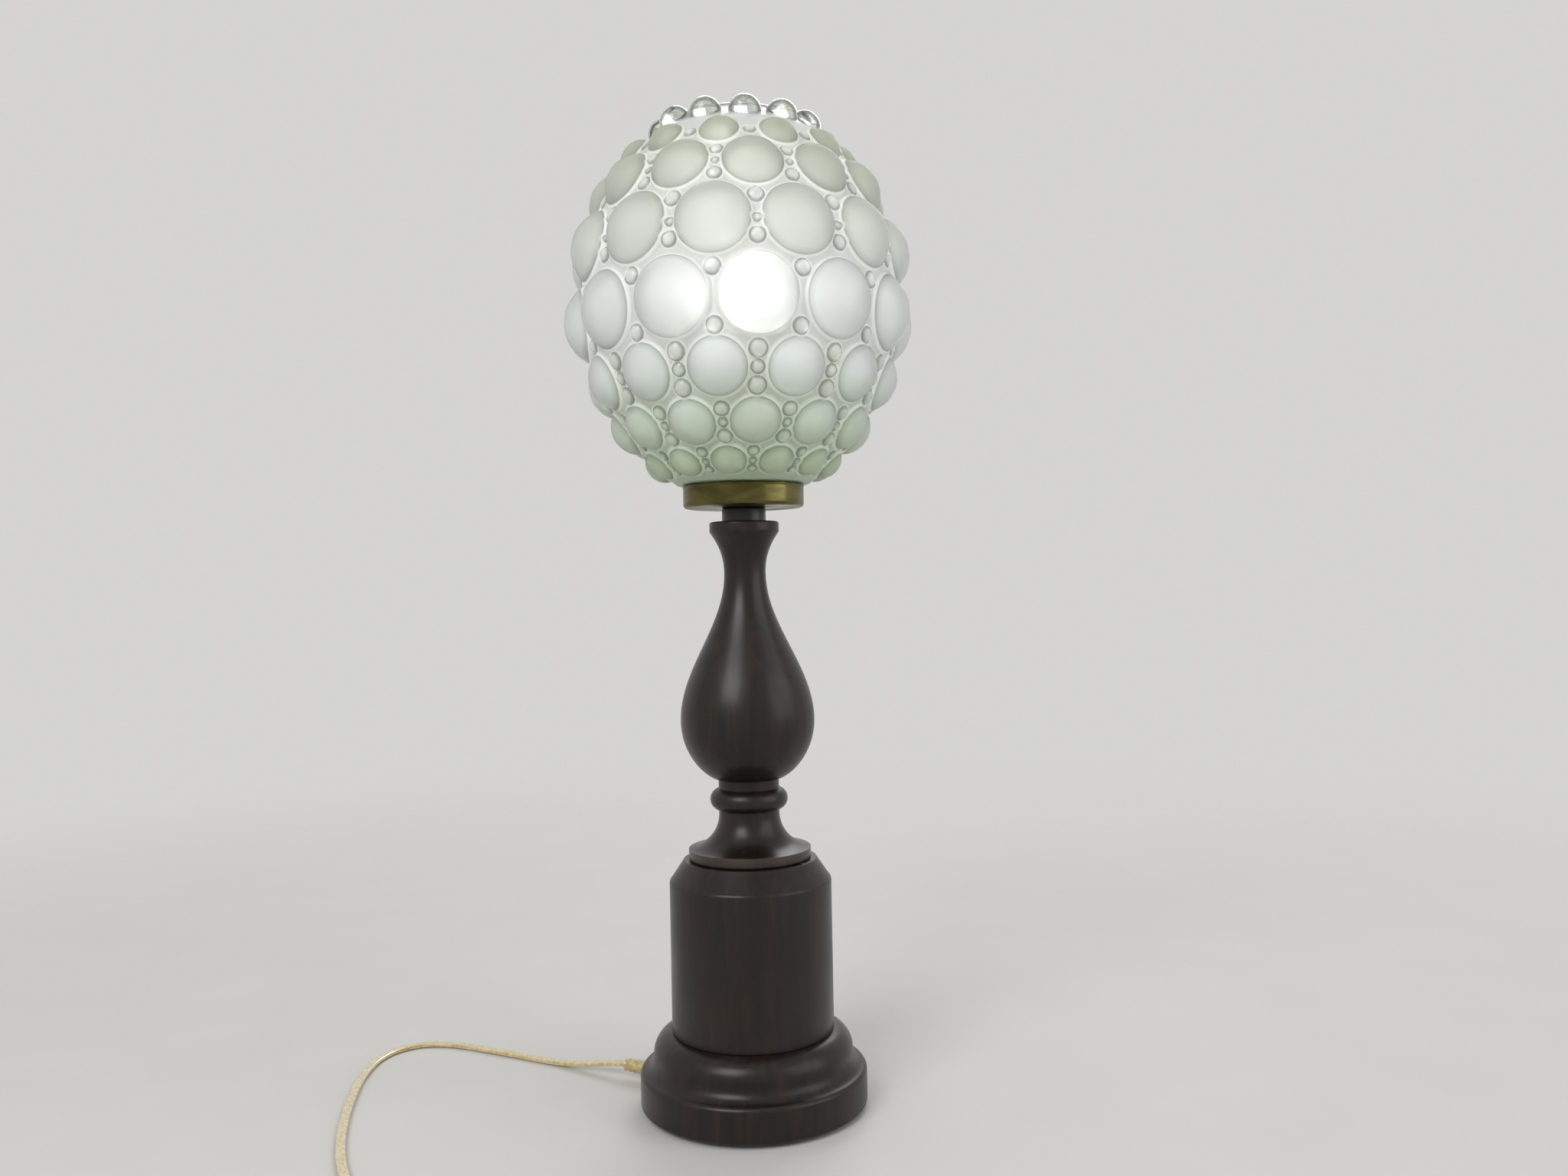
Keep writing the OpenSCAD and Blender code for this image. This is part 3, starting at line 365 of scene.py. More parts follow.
def opalGlow():
    material, tree, shader = newMaterial("lit opal")
    tree.links.new(ramp(tree, noise(tree, 40, 3), (0.3, (0.93, 0.93, 0.90)), (0.7, (0.97, 0.97, 0.95))),
                   shader.inputs["Base Color"])
    setSockets(shader, roughness=0.4, emissionColor=(1.0, 0.985, 0.95, 1), emissionStrength=7.6)
    return material


shellNodes = ["globe_neck", "globe_cup", "globe_belly", "globe_flank", "globe_dome"]    # one glass, in bands
globeLow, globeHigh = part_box("globe_neck")[0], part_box("globe_dome")[1]
wood = darkWood()
brass = agedBrass()
glass = sageGlass()
beadGlass = clearGlass()
opal = opalGlow()
felt = feltCloth()
flexSheath = clearFlex()
plainBrass = platedMetal("plain brass", (0.55, 0.40, 0.15), (0.76, 0.60, 0.28), 0.34)
nickel = platedMetal("nickel plate", (0.56, 0.55, 0.52), (0.76, 0.75, 0.71), 0.28)
zinc = platedMetal("zinc plate", (0.40, 0.41, 0.42), (0.62, 0.62, 0.60), 0.42)
blackLacquer = mouldedPlastic("black lacquer", (0.006, 0.006, 0.006), (0.016, 0.015, 0.014), 0.34, 300)
creamPlastic = mouldedPlastic("cream plastic", (0.74, 0.70, 0.58), (0.80, 0.77, 0.66), 0.36)
whitePlastic = mouldedPlastic("white plastic", (0.80, 0.80, 0.77), (0.86, 0.86, 0.84), 0.34)
bulbPlastic = mouldedPlastic("bulb housing", (0.82, 0.82, 0.80), (0.88, 0.88, 0.87), 0.45)
porcelain = mouldedPlastic("porcelain", (0.80, 0.78, 0.70), (0.87, 0.85, 0.79), 0.20, 120, 0.03)
rubber = mouldedPlastic("rubber", (0.012, 0.012, 0.012), (0.030, 0.030, 0.029), 0.75, 500, 0.15)
blackInsulator = mouldedPlastic("black insulator", (0.004, 0.004, 0.005), (0.012, 0.012, 0.013), 0.15, 200)
copper = platedMetal("copper cores", (0.62, 0.30, 0.16), (0.83, 0.47, 0.28), 0.38)
print("finishes made:", len(bpy.data.materials))

# Flex: from the strain relief over the table to the switch, then the coil and the plug
flexSet = {
    "width": 0.0052,
    "thick": 0.0026,
    "length": 1.8,
    "exitAngle": 146,          # degrees round the foot, to the back left
    "exitHeight": 0.008,
    "reliefLength": 0.0217,
    "floor": 0.0014,           # height of its middle on the table
    "coilAt": (-0.128, -0.200),
    "coilInside": 0.023,       # radius of the inner turn
    "coilTurns": 2.75,         # in each layer
    "coilPitch": 0.0058,
    "coilClimb": 0.0031,
    "coilHeight": 0.0019,
    "coilSteps": 48,           # points in a turn
    "routeSteps": 6,           # points from one of a route's points to the next
    "coreArc": 140,            # degrees of a core's round, to each side of its outermost point
    "coreStep": 35,
    "plugGrip": 0.001,         # length inside the plug's sleeve
    "plugHeight": 0.00314,
    "plugLean": 18.4,          # degrees, the plug lies on its body with its sleeve down
}
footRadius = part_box("foot")[1].x
outward = Vector((cos(radians(flexSet["exitAngle"])), sin(radians(flexSet["exitAngle"])), 0))
flexExit = outward * (footRadius + flexSet["reliefLength"]) + Vector((0, 0, flexSet["exitHeight"]))
switchLow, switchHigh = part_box("switch_base")
switchEnd = Vector(((switchLow.x + switchHigh.x) / 2, switchHigh.y, switchHigh.z))
switchStart = Vector((switchEnd.x, switchLow.y, switchHigh.z))
coilX, coilMid = flexSet["coilAt"]
coilY = coilMid - flexSet["coilInside"] - flexSet["coilTurns"] * flexSet["coilPitch"]
coilZ = flexSet["coilHeight"]
tailZ = coilZ + flexSet["coilClimb"]
plugTip = Vector((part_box("plug_sleeve")[0].x + flexSet["plugGrip"], coilY, flexSet["plugHeight"]))
plugLean = radians(flexSet["plugLean"])
plugAxis = Vector((cos(plugLean), 0, sin(plugLean)))
onFloor = flexSet["floor"]

leadRoute = [flexExit, flexExit + outward * 0.006 - Vector((0, 0, 0.0003)),
             (-0.088, 0.0595, 0.0056), (-0.104, 0.070, 0.0026), (-0.120, 0.081, onFloor),
             (-0.137, 0.093, onFloor), (-0.155, 0.105, onFloor), (-0.172, 0.116, onFloor),
             (-0.188, 0.123, onFloor), (-0.203, 0.124, onFloor), (-0.216, 0.117, onFloor),
             (-0.224, 0.105, onFloor), (-0.228, 0.090, onFloor), (-0.230, 0.070, onFloor),
             (-0.230, 0.050, onFloor), (-0.229, 0.028, onFloor), (-0.227, 0.006, onFloor),
             (-0.224, -0.016, onFloor), (-0.219, -0.040, onFloor), (-0.212, -0.064, onFloor),
             (-0.205, -0.088, onFloor), (-0.199, -0.110, 0.0022), (-0.196, -0.128, 0.005),
             switchEnd + Vector((0, 0.008, -0.0005)), switchEnd]
linkRoute = [switchStart, switchStart - Vector((0, 0.006, 0.0005)), (-0.191, -0.228, 0.006),
             (-0.180, -0.235, 0.004), (-0.165, -0.237, 0.0024), (-0.150, coilY, coilZ),
             (coilX - 2 * flexSet["width"], coilY, coilZ), (coilX - flexSet["width"], coilY, coilZ)]
tailRoute = [(coilX + flexSet["width"], coilY, tailZ), (coilX + 2 * flexSet["width"], coilY, tailZ),
             (-0.106, coilY, 0.0036), (-0.094, coilY, 0.0019), (-0.082, coilY, onFloor),
             (-0.071, coilY, 0.0015), plugTip - plugAxis * flexSet["width"], plugTip]


def smoothRoute(route):    # a smooth curve through the route's points
    steps = flexSet["routeSteps"]
    points = [Vector(p) for p in route]
    last = len(points) - 1
    curve = []
    for i in range(last):
        a, b, c, d = points[max(i - 1, 0)], points[i], points[i + 1], points[min(i + 2, last)]
        for k in range(steps):
            t = k / steps
            curve.append((2 * b + (c - a) * t + (2 * a - 5 * b + 4 * c - d) * t * t
                          + (3 * b - a - 3 * c + d) * t * t * t) / 2)
    return curve + [points[last]]


def coilRoute():    # in on the lower layer, up in half a turn, and out again on the upper one
    turns, steps = flexSet["coilTurns"], flexSet["coilSteps"]
    curve = []
    for i in range(round((2 * turns + 0.5) * steps) + 1):
        u = i / steps
        radius = flexSet["coilInside"] + flexSet["coilPitch"] * max(turns - u, 0, u - turns - 0.5)
        height = coilZ + flexSet["coilClimb"] * min(max(2 * (u - turns), 0), 1)
        angle = 2 * pi * u - pi / 2
        curve.append(Vector((coilX + radius * cos(angle), coilMid + radius * sin(angle), height)))
    return curve


flexPath = smoothRoute(leadRoute) + smoothRoute(linkRoute) + coilRoute() + smoothRoute(tailRoute)
coreRadius = flexSet["thick"] / 2
flexSection = bpy.data.curves.new("flex section", "CURVE")    # two round cores side by side
flexSection.dimensions = "2D"
outline = flexSection.splines.new("POLY")
ring = [(side * coreRadius * (1 + cos(radians(a))), side * coreRadius * sin(radians(a)))
        for side in (1, -1) for a in range(-flexSet["coreArc"], flexSet["coreArc"] + 1, flexSet["coreStep"])]
outline.points.add(len(ring) - 1)
for point, (x, y) in zip(outline.points, ring):
    point.co = (x, y, 0, 1)
outline.use_cyclic_u = True
sectionObject = bpy.data.objects.new("flex section", flexSection)
scene.collection.objects.link(sectionObject)
flexCurve = bpy.data.curves.new("flex line", "CURVE")
flexCurve.dimensions = "3D"
flexCurve.twist_mode = "Z_UP"
flexCurve.bevel_mode = "OBJECT"
flexCurve.bevel_object = sectionObject
flexCurve.use_fill_caps = True
line = flexCurve.splines.new("POLY")
line.points.add(len(flexPath) - 1)
for point, place in zip(line.points, flexPath):
    point.co = (*place, 1)
lineObject = bpy.data.objects.new("flex line", flexCurve)
scene.collection.objects.link(lineObject)
bpy.context.view_layer.update()
flexMesh = bpy.data.meshes.new_from_object(lineObject.evaluated_get(bpy.context.evaluated_depsgraph_get()))
for helper in (lineObject, sectionObject):
    bpy.data.objects.remove(helper)
flex = addMesh("flex", flexMesh, flexSheath, "lamp",
               ["cord_lead", "cord_link", "cord_coil", "cord_tail"])

# The tapered strain relief, ribbed, turned upright and then laid along the exit
reliefSet = {
    "bore": 0.0032,
    "bush": 0.004,             # radius inside the foot
    "flange": 0.0055,
    "flangeThick": 0.002,
    "backEdge": 0.0004,        # bevels of the flange
    "frontEdge": 0.0006,
    "sleeve": 0.0046,          # radius of the ribbed part at the flange
    "taper": 0.0008,           # what it loses up to its end
    "ribs": 6,
    "ribDepth": 0.0004,
    "ribPoints": 4,
}
recessRadius = 0.042           # of the hollow under the foot
flange, backEdge, frontEdge = reliefSet["flange"], reliefSet["backEdge"], reliefSet["frontEdge"]
flangeEnd = footRadius + reliefSet["flangeThick"]
ribLength = flexSet["reliefLength"] - reliefSet["flangeThick"]
ribSteps = reliefSet["ribPoints"] * reliefSet["ribs"]
ribbed = []
for i in range(ribSteps + 1):
    share = i / ribSteps
    groove = reliefSet["ribDepth"] * (0.5 - 0.5 * cos(2 * pi * reliefSet["ribs"] * share))
    ribbed.append((reliefSet["sleeve"] - reliefSet["taper"] * share - groove, flangeEnd + ribLength * share))
bm = turn([(reliefSet["bore"], recessRadius), (reliefSet["bush"], recessRadius),
           (reliefSet["bush"], footRadius), (flange - backEdge, footRadius), (flange, footRadius + backEdge),
           (flange, flangeEnd - frontEdge), (flange - frontEdge, flangeEnd)] + ribbed
          + [(reliefSet["bore"], ribbed[-1][1])], 40)
bmesh.ops.rotate(bm, verts=bm.verts, cent=(0, 0, 0), matrix=Matrix.Rotation(pi / 2, 3, "Y"))
bmesh.ops.rotate(bm, verts=bm.verts, cent=(0, 0, 0),
                 matrix=Matrix.Rotation(radians(flexSet["exitAngle"]), 3, "Z"))
bmesh.ops.translate(bm, verts=bm.verts, vec=(0, 0, flexSet["exitHeight"]))
relief = addPiece("strain_relief", bm, flexSheath, "lamp", ["cord_relief"])

tie = softCopy("cord_tie", whitePlastic, 0.00012)
switchPieces = [softCopy("switch_base", whitePlastic, 0.0007, 3),
                softCopy("switch_cover", whitePlastic, 0.0005, 3),
                softCopy("switch_rocker", whitePlastic, 0.0004),
                softCopy("switch_screws", zinc, 0.0002)]
plugPieces = [softCopy("plug_sleeve", whitePlastic, 0.0004),
              softCopy("plug_body", whitePlastic, 0.0003),
              softCopy("plug_pins", nickel, 0.0002)]
print("flex laid:", len(flexPath), "points")

# Turned wood: foot, drum and baluster
footSet = {"edge": 0.0015, "nose": 0.0028, "cove": 0.0075, "ovolo": 0.0117, "recess": recessRadius,
           "recessTop": 0.024, "fillet": 0.002, "coveIn": 0.0003, "noseEnd": 78, "coveStart": 255}
footLow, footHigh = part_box("foot")
drumLow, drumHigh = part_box("drum")
balusterLow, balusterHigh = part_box("baluster")
holeRadius = 0.0052            # round the threaded tube
tenonRadius = 0.016            # pegs that join the turned pieces
woodGap = 0.0002               # room round a peg
footTop = drumLow.z
coveX = footRadius - footSet["coveIn"]
coveZ = footTop - footSet["ovolo"] - footSet["fillet"]
coveStart, noseEnd = radians(footSet["coveStart"]), radians(footSet["noseEnd"])
noseX = coveX + footSet["cove"] * cos(coveStart) - footSet["nose"] * cos(noseEnd)
noseZ = coveZ + footSet["cove"] * sin(coveStart) - footSet["nose"] * sin(noseEnd)
ovoloX = coveX - footSet["cove"] - footSet["ovolo"]
bm = turn([(footSet["recess"], footLow.z)]
          + arc(noseX + footSet["nose"] - footSet["edge"], footLow.z + footSet["edge"], footSet["edge"],
                -90, 0, 6)
          + arc(noseX, noseZ, footSet["nose"], 0, footSet["noseEnd"], 10)
          + arc(coveX, coveZ, footSet["cove"], footSet["coveStart"], 180, 12)
          + arc(ovoloX, footTop - footSet["ovolo"], footSet["ovolo"], 0, 90, 16)
          + [(tenonRadius, footTop), (tenonRadius, footHigh.z), (holeRadius, footHigh.z),
             (holeRadius, footSet["recessTop"]), (footSet["recess"], footSet["recessTop"])], 160)
addPiece("turned_foot", bm, wood, "lamp", ["foot"])

drumSet = {"shoulder": 0.003, "shoulderEnd": 52, "capHeight": 0.010, "capTop": 0.038, "capStart": 40,
           "crisp": 0.0006}
drumRadius = drumHigh.x
drumTop = balusterLow.z
bm = turn([(tenonRadius + woodGap, footTop)]
          + arc(drumRadius - drumSet["crisp"], footTop + drumSet["crisp"], drumSet["crisp"], -90, 0, 4)
          + arc(drumRadius - drumSet["shoulder"], drumTop - drumSet["capHeight"] - drumSet["shoulder"],
                drumSet["shoulder"], 0, drumSet["shoulderEnd"], 10)
          + arc(drumSet["capTop"] - drumSet["crisp"], drumTop - drumSet["crisp"], drumSet["crisp"],
                drumSet["capStart"], 90, 4)
          + [(tenonRadius, drumTop), (tenonRadius, drumHigh.z), (holeRadius, drumHigh.z),
             (holeRadius, footHigh.z + woodGap), (tenonRadius + woodGap, footHigh.z + woodGap)], 160)
addPiece("turned_drum", bm, wood, "lamp", ["drum"])

balusterSet = {
    "ring": 0.0347,
    "ringHeight": 0.006,
    "edge": 0.0012,            # rounding of the ring and the collar
    "cove": 0.0198,
    "stem": 0.0172,
    "bead": 0.02205,
    "beadRound": 0.00625,
    "beadGap": 0.00175,        # stem from the cove to the bead
    "stemHeight": 0.005,
    "bowlHeight": 0.0334,
    "bowlPower": 1.35,
    "shoulderHeight": 0.0836,
    "waist": 0.01185,
    "flareHeight": 0.0225,
    "flarePower": 2.2,
    "flareIn": 0.0005,         # the flare ends this far inside the collar
    "collar": 0.01975,
    "collarStart": -30,        # degrees, where the rounding under the collar starts
    "steps": 30,               # points in each of the vase's curves
}
stem, waist, collar = balusterSet["stem"], balusterSet["waist"], balusterSet["collar"]
cove, beadRound, roundEdge = balusterSet["cove"], balusterSet["beadRound"], balusterSet["edge"]
bowlHeight, shoulderHeight = balusterSet["bowlHeight"], balusterSet["shoulderHeight"]
vaseRadius = balusterHigh.x
ringTop = drumTop + balusterSet["ringHeight"]
coveTop = ringTop + sqrt(cove ** 2 - (stem + cove - balusterSet["ring"]) ** 2)
coveLow = 180 + degrees(asin((coveTop - ringTop) / cove))
beadZ = coveTop + beadRound + balusterSet["beadGap"]
beadHalf = degrees(acos((stem - balusterSet["bead"] + beadRound) / beadRound))
vaseZ = beadZ + beadRound + balusterSet["stemHeight"] + bowlHeight
waistZ = vaseZ + shoulderHeight
flareTop = waistZ + balusterSet["flareHeight"]
flareReach = collar - balusterSet["flareIn"] - waist
collarTop = balusterHigh.z
shares = [i / balusterSet["steps"] for i in range(balusterSet["steps"])]
bowl = [(stem + (vaseRadius - stem) * sin(pi / 2 * s) ** balusterSet["bowlPower"],
         vaseZ - bowlHeight * cos(pi / 2 * s)) for s in shares]
shoulder = [(waist + (vaseRadius - waist) * (1 + cos(pi * s)) / 2, vaseZ + shoulderHeight * s)
            for s in shares]
flare = [(waist + flareReach * s ** balusterSet["flarePower"], waistZ + balusterSet["flareHeight"] * s)
         for s in shares]
bm = turn([(tenonRadius + woodGap, drumTop)]
          + arc(balusterSet["ring"] - roundEdge, drumTop + roundEdge, roundEdge, -90, 0, 6)
          + arc(stem + cove, coveTop, cove, coveLow, 180, 20)
          + arc(balusterSet["bead"] - beadRound, beadZ, beadRound, -beadHalf, beadHalf, 20)
          + bowl + shoulder + flare
          + arc(collar - roundEdge, flareTop + roundEdge, roundEdge, balusterSet["collarStart"], 0, 4)
          + arc(collar - roundEdge, collarTop - roundEdge, roundEdge, 0, 90, 6)
          + [(holeRadius, collarTop), (holeRadius, drumHigh.z + woodGap),
             (tenonRadius + woodGap, drumHigh.z + woodGap)], 160)
addPiece("turned_baluster", bm, wood, "lamp", ["baluster"])

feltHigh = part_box("base_felt")[1]
feltEdge = 0.0005
bm = turn([(0, 0), (feltHigh.x - feltEdge, 0), (feltHigh.x, feltEdge), (feltHigh.x, feltHigh.z),
           (0, feltHigh.z)], 120, closed=False)
addPiece("felt_disc", bm, felt, "lamp", ["base_felt"])
print("column turned")

# Black spacer and brass gallery
spacerSet = {"edge": 0.0012, "lowEdge": 0.0004}
spacerLow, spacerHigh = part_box("neck_spacer")
bm = turn([(holeRadius, spacerLow.z), (spacerHigh.x - spacerSet["lowEdge"], spacerLow.z),
           (spacerHigh.x, spacerLow.z + spacerSet["lowEdge"])]
          + arc(spacerHigh.x - spacerSet["edge"], spacerHigh.z - spacerSet["edge"], spacerSet["edge"],
                0, 90, 6)
          + [(holeRadius, spacerHigh.z)], 96)
addPiece("black_spacer", bm, blackLacquer, "lamp", ["neck_spacer"])

gallerySet = {
    "radius": 0.0343,
    "sheet": 0.0012,
    "corner": 0.002,
    "rim": 0.0009,             # radius of the rolled rim
    "rimIn": 0.7,              # how far its middle lies inside the cup's side, in its radii
    "rimDrop": 0.0011,         # from its middle down to the plain side
    "rimStart": -46,           # degrees
    "rimEnd": 226,
}
galleryLow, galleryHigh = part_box("gallery")
cupRadius, sheet, corner, rim = (gallerySet[key] for key in ("radius", "sheet", "corner", "rim"))
rimZ = galleryHigh.z - rim
sideTop = rimZ - gallerySet["rimDrop"]
bm = turn([(holeRadius, galleryLow.z)]
          + arc(cupRadius - corner, galleryLow.z + corner, corner, -90, 0, 8)
          + [(cupRadius, sideTop)]
          + arc(cupRadius - gallerySet["rimIn"] * rim, rimZ, rim, gallerySet["rimStart"],
                gallerySet["rimEnd"], 20)
          + [(cupRadius - sheet, sideTop)]
          + arc(cupRadius - corner, galleryLow.z + corner, corner - sheet, 0, -90, 5)
          + [(holeRadius, galleryLow.z + sheet)], 144)
addPiece("brass_gallery", bm, brass, "lamp", ["gallery"])

# Globe: one sector is spun, raised into bubbles and beads, and copied round
globeSet = {
    "arcRadius": 0.128,        # the side's curve
    "arcIn": 0.040,            # its centre lies this far past the axis
    "arcHeight": 0.1022,       # and this far above the gallery's rim
    "shoulderHeight": 0.0006,  # where the side starts, above the same rim
    "wall": 0.0024,
    "neck": 0.0322,
    "neckRound": 0.0008,       # at the neck's foot
    "neckFillet": 0.001,       # from the neck to the shoulder
    "mouth": 0.037,
    "bubbles": 12,             # in a row
    # rows of bubbles: (place on the side from shoulder to mouth, radius on the glass)
    "rows": ((0.859, 0.0109), (0.756, 0.0163), (0.611, 0.0199), (0.445, 0.0208), (0.292, 0.0159),
             (0.167, 0.0138), (0.062, 0.0101)),
    "bubbleRise": 0.56,        # height of a bubble, in its radii on the glass
    "fillet": 0.0014,          # softness of the valleys between bubbles and wall
    "beadFillet": 0.0007,      # the same round the small beads
    "near": (1.3, 0.008),      # a bubble is felt up to so many of its radii and metres from its centre
    "mouthFade": 0.06,         # radians over which the relief dies out at the mouth
    "shoulderFade": 0.05,
    "sectorSteps": 36,
    "outerRows": 170,
    "innerRows": 36,
    "rimSpan": 0.012,          # metres across a bubble's edge over which its finish changes
    "beadSpan": 0.004,
    # small beads in the gaps of each row, given in the same way
    "beads": (((0.859, 0.0035),),
              ((0.790, 0.0037), (0.756, 0.0023), (0.720, 0.0041)),
              ((0.663, 0.0046), (0.607, 0.0026), (0.568, 0.0044)),
              ((0.502, 0.0046), (0.379, 0.0046)),
              ((0.329, 0.0050), (0.289, 0.0038), (0.248, 0.0050)),
              ((0.196, 0.0043), (0.163, 0.0028), (0.128, 0.0043)),
              ((0.088, 0.0034), (0.060, 0.0023), (0.036, 0.0028))),
    "beadSink": 0.45,          # how deep a bead's centre lies, in its sphere's radii
    "crownRadius": 0.0090,
    "crownRing": 0.0413,
    "crownDrop": 0.0064,       # the beads' centres below the mouth
    "crownSegments": (32, 20), # round a bead, and from pole to pole
    "weld": 5e-6,              # metres, where the sectors meet
    "hard": 60,                # degrees
}
arcZ = galleryHigh.z + globeSet["arcHeight"]
shoulderZ = galleryHigh.z + globeSet["shoulderHeight"]
sector = 2 * pi / globeSet["bubbles"]
front = -pi / 2


def bodyPoint(lean, azimuth, inset=0.0):    # a point of the plain globe, and the way out of it
    away = globeSet["arcRadius"] - inset
    radius = away * cos(lean) - globeSet["arcIn"]
    out = Vector((cos(lean) * cos(azimuth), cos(lean) * sin(azimuth), sin(lean)))
    return Vector((radius * cos(azimuth), radius * sin(azimuth), arcZ + away * sin(lean))), out


def sideLean(share):
    return shoulderLean + (mouthLean - shoulderLean) * share


def domes():    # (centre, radius, middle on the wall, its circle there, is it a bead) near the front sector
    found = []
    for i, (place, base) in enumerate(globeSet["rows"]):
        rise = globeSet["bubbleRise"] * base
        radius = (base * base + rise * rise) / (2 * rise)
        half = 0.5 if i % 2 == 0 else 0
        for k in (-1, 0, 1):
            point, out = bodyPoint(sideLean(place), front + sector * (k + half))
            found.append((point + out * (rise - radius), radius, point, base, False))
            for share, circle in globeSet["beads"][i]:
                size = circle / sqrt(1 - globeSet["beadSink"] ** 2)
                point, out = bodyPoint(sideLean(share), front + sector * (k + half + 0.5))
                found.append((point - out * size * globeSet["beadSink"], size, point, circle, True))
    return found


def softMax(a, b, soft):
    return max(a, b) + max(soft - abs(a - b), 0) ** 2 / (4 * soft)


def reach(point, out, centre, radius):    # how far out of the wall a sphere stands at this point
    across = out.dot(point - centre)
    depth = radius * radius - (point - centre).length_squared
    if depth < 0:
        return radius - (point - centre).length
    return sqrt(across * across + depth) - across


mouthLean = acos((globeSet["mouth"] + globeSet["arcIn"]) / globeSet["arcRadius"])
shoulderLean = asin((shoulderZ - arcZ) / globeSet["arcRadius"])
wall = globeSet["wall"]
innerArc = globeSet["arcRadius"] - wall
lowLean = asin((shoulderZ + wall - arcZ) / innerArc)
outside = [bodyPoint(sideLean(i / globeSet["outerRows"]), 0)[0] for i in range(globeSet["outerRows"] + 1)]
inside = [bodyPoint(mouthLean + (lowLean - mouthLean) * i / globeSet["innerRows"], 0, wall)[0]
          for i in range(globeSet["innerRows"] + 1)]
neck, neckFoot = globeSet["neck"], globeLow.z
neckRound, neckFillet = globeSet["neckRound"], globeSet["neckFillet"]
lip = (outside[-1] + inside[0]) / 2 + Vector((cos(mouthLean + pi / 2), 0, sin(mouthLean + pi / 2))) * wall / 2
section = ([(neck - wall, neckFoot + neckRound), (neck - wall / 2, neckFoot), (neck, neckFoot + neckRound)]
           + arc(neck + neckFillet, shoulderZ - neckFillet, neckFillet, 180, 90, 4)
           + [(p.x, p.z) for p in outside] + [(lip.x, lip.z)] + [(p.x, p.z) for p in inside]
           + [(neck - wall, shoulderZ + wall)])
bm = bmesh.new()
rimLayer = bm.verts.layers.float.new("rim")
beadLayer = bm.verts.layers.float.new("bead")
ring = [bm.verts.new((r * cos(front - sector / 2), r * sin(front - sector / 2), z)) for r, z in section]
edges = [bm.edges.new((ring[i - 1], ring[i])) for i in range(len(ring))]
bmesh.ops.spin(bm, geom=ring + edges, cent=(0, 0, 0), axis=(0, 0, 1), angle=sector,
               steps=globeSet["sectorSteps"])
spheres = domes()
nearRadii, nearMetres = globeSet["near"]
slack = 1e-5                                               # metres, for rounding
for vert in bm.verts:
    azimuth = atan2(vert.co.y, vert.co.x)
    radius = vert.co.xy.length + globeSet["arcIn"]
    lean = atan2(vert.co.z - arcZ, radius)
    away = sqrt(radius ** 2 + (vert.co.z - arcZ) ** 2)
    vert[rimLayer] = vert[beadLayer] = 1.0
    if vert.co.z < shoulderZ - slack or away < innerArc - slack:
        continue                                           # the neck stays plain
    isOuter = away > innerArc + wall / 2
    inset = 0 if isOuter else wall
    out = Vector((cos(lean) * cos(azimuth), cos(lean) * sin(azimuth), sin(lean)))
    raised, beaded = 0.0, 0.0
    for centre, size, middle, circle, isBead in spheres:
        if (vert.co - centre).length > nearRadii * size + nearMetres or (isBead and not isOuter):
            continue                                       # beads are solid, so the inside has none
        height = reach(vert.co, out, centre, size - inset)
        edge = (vert.co - middle).length - circle
        if isBead:
            vert[beadLayer] = min(vert[beadLayer], max(0.5 + edge / globeSet["beadSpan"], 0))
            beaded = max(beaded, height)
        else:
            vert[rimLayer] = min(vert[rimLayer], max(0.5 + edge / globeSet["rimSpan"], 0))
            raised = softMax(raised, height, globeSet["fillet"])
    if beaded > 0:
        raised = softMax(raised, beaded, globeSet["beadFillet"])
    fade = min(max((mouthLean - lean) / globeSet["mouthFade"], 0), 1)
    fade *= min(max((lean - shoulderLean) / globeSet["shoulderFade"], 0), 1)
    vert.co += out * raised * fade
bmesh.ops.spin(bm, geom=bm.verts[:] + bm.edges[:] + bm.faces[:], cent=(0, 0, 0), axis=(0, 0, 1),
               angle=sector * (globeSet["bubbles"] - 1), steps=globeSet["bubbles"] - 1, use_duplicate=True)
bmesh.ops.remove_doubles(bm, verts=bm.verts, dist=globeSet["weld"])
bmesh.ops.recalc_face_normals(bm, faces=bm.faces)
globe = addPiece("globe_glass", bm, glass, "globe", shellNodes + ["globe_bubbles"],
                 globeSet["hard"])
print("globe raised:", len(globe.data.polygons), "faces")

bm = bmesh.new()
across, upward = globeSet["crownSegments"]
for k in range(globeSet["bubbles"]):
    azimuth = front + sector * k
    place = Vector((cos(azimuth), sin(azimuth), 0)) * globeSet["crownRing"]
    place.z = globeHigh.z - globeSet["crownDrop"]
    bmesh.ops.create_uvsphere(bm, u_segments=across, v_segments=upward, radius=globeSet["crownRadius"],
                              matrix=Matrix.Translation(place))
addPiece("crown_beads", bm, beadGlass, "globe", ["globe_crown"])
print("crown set")

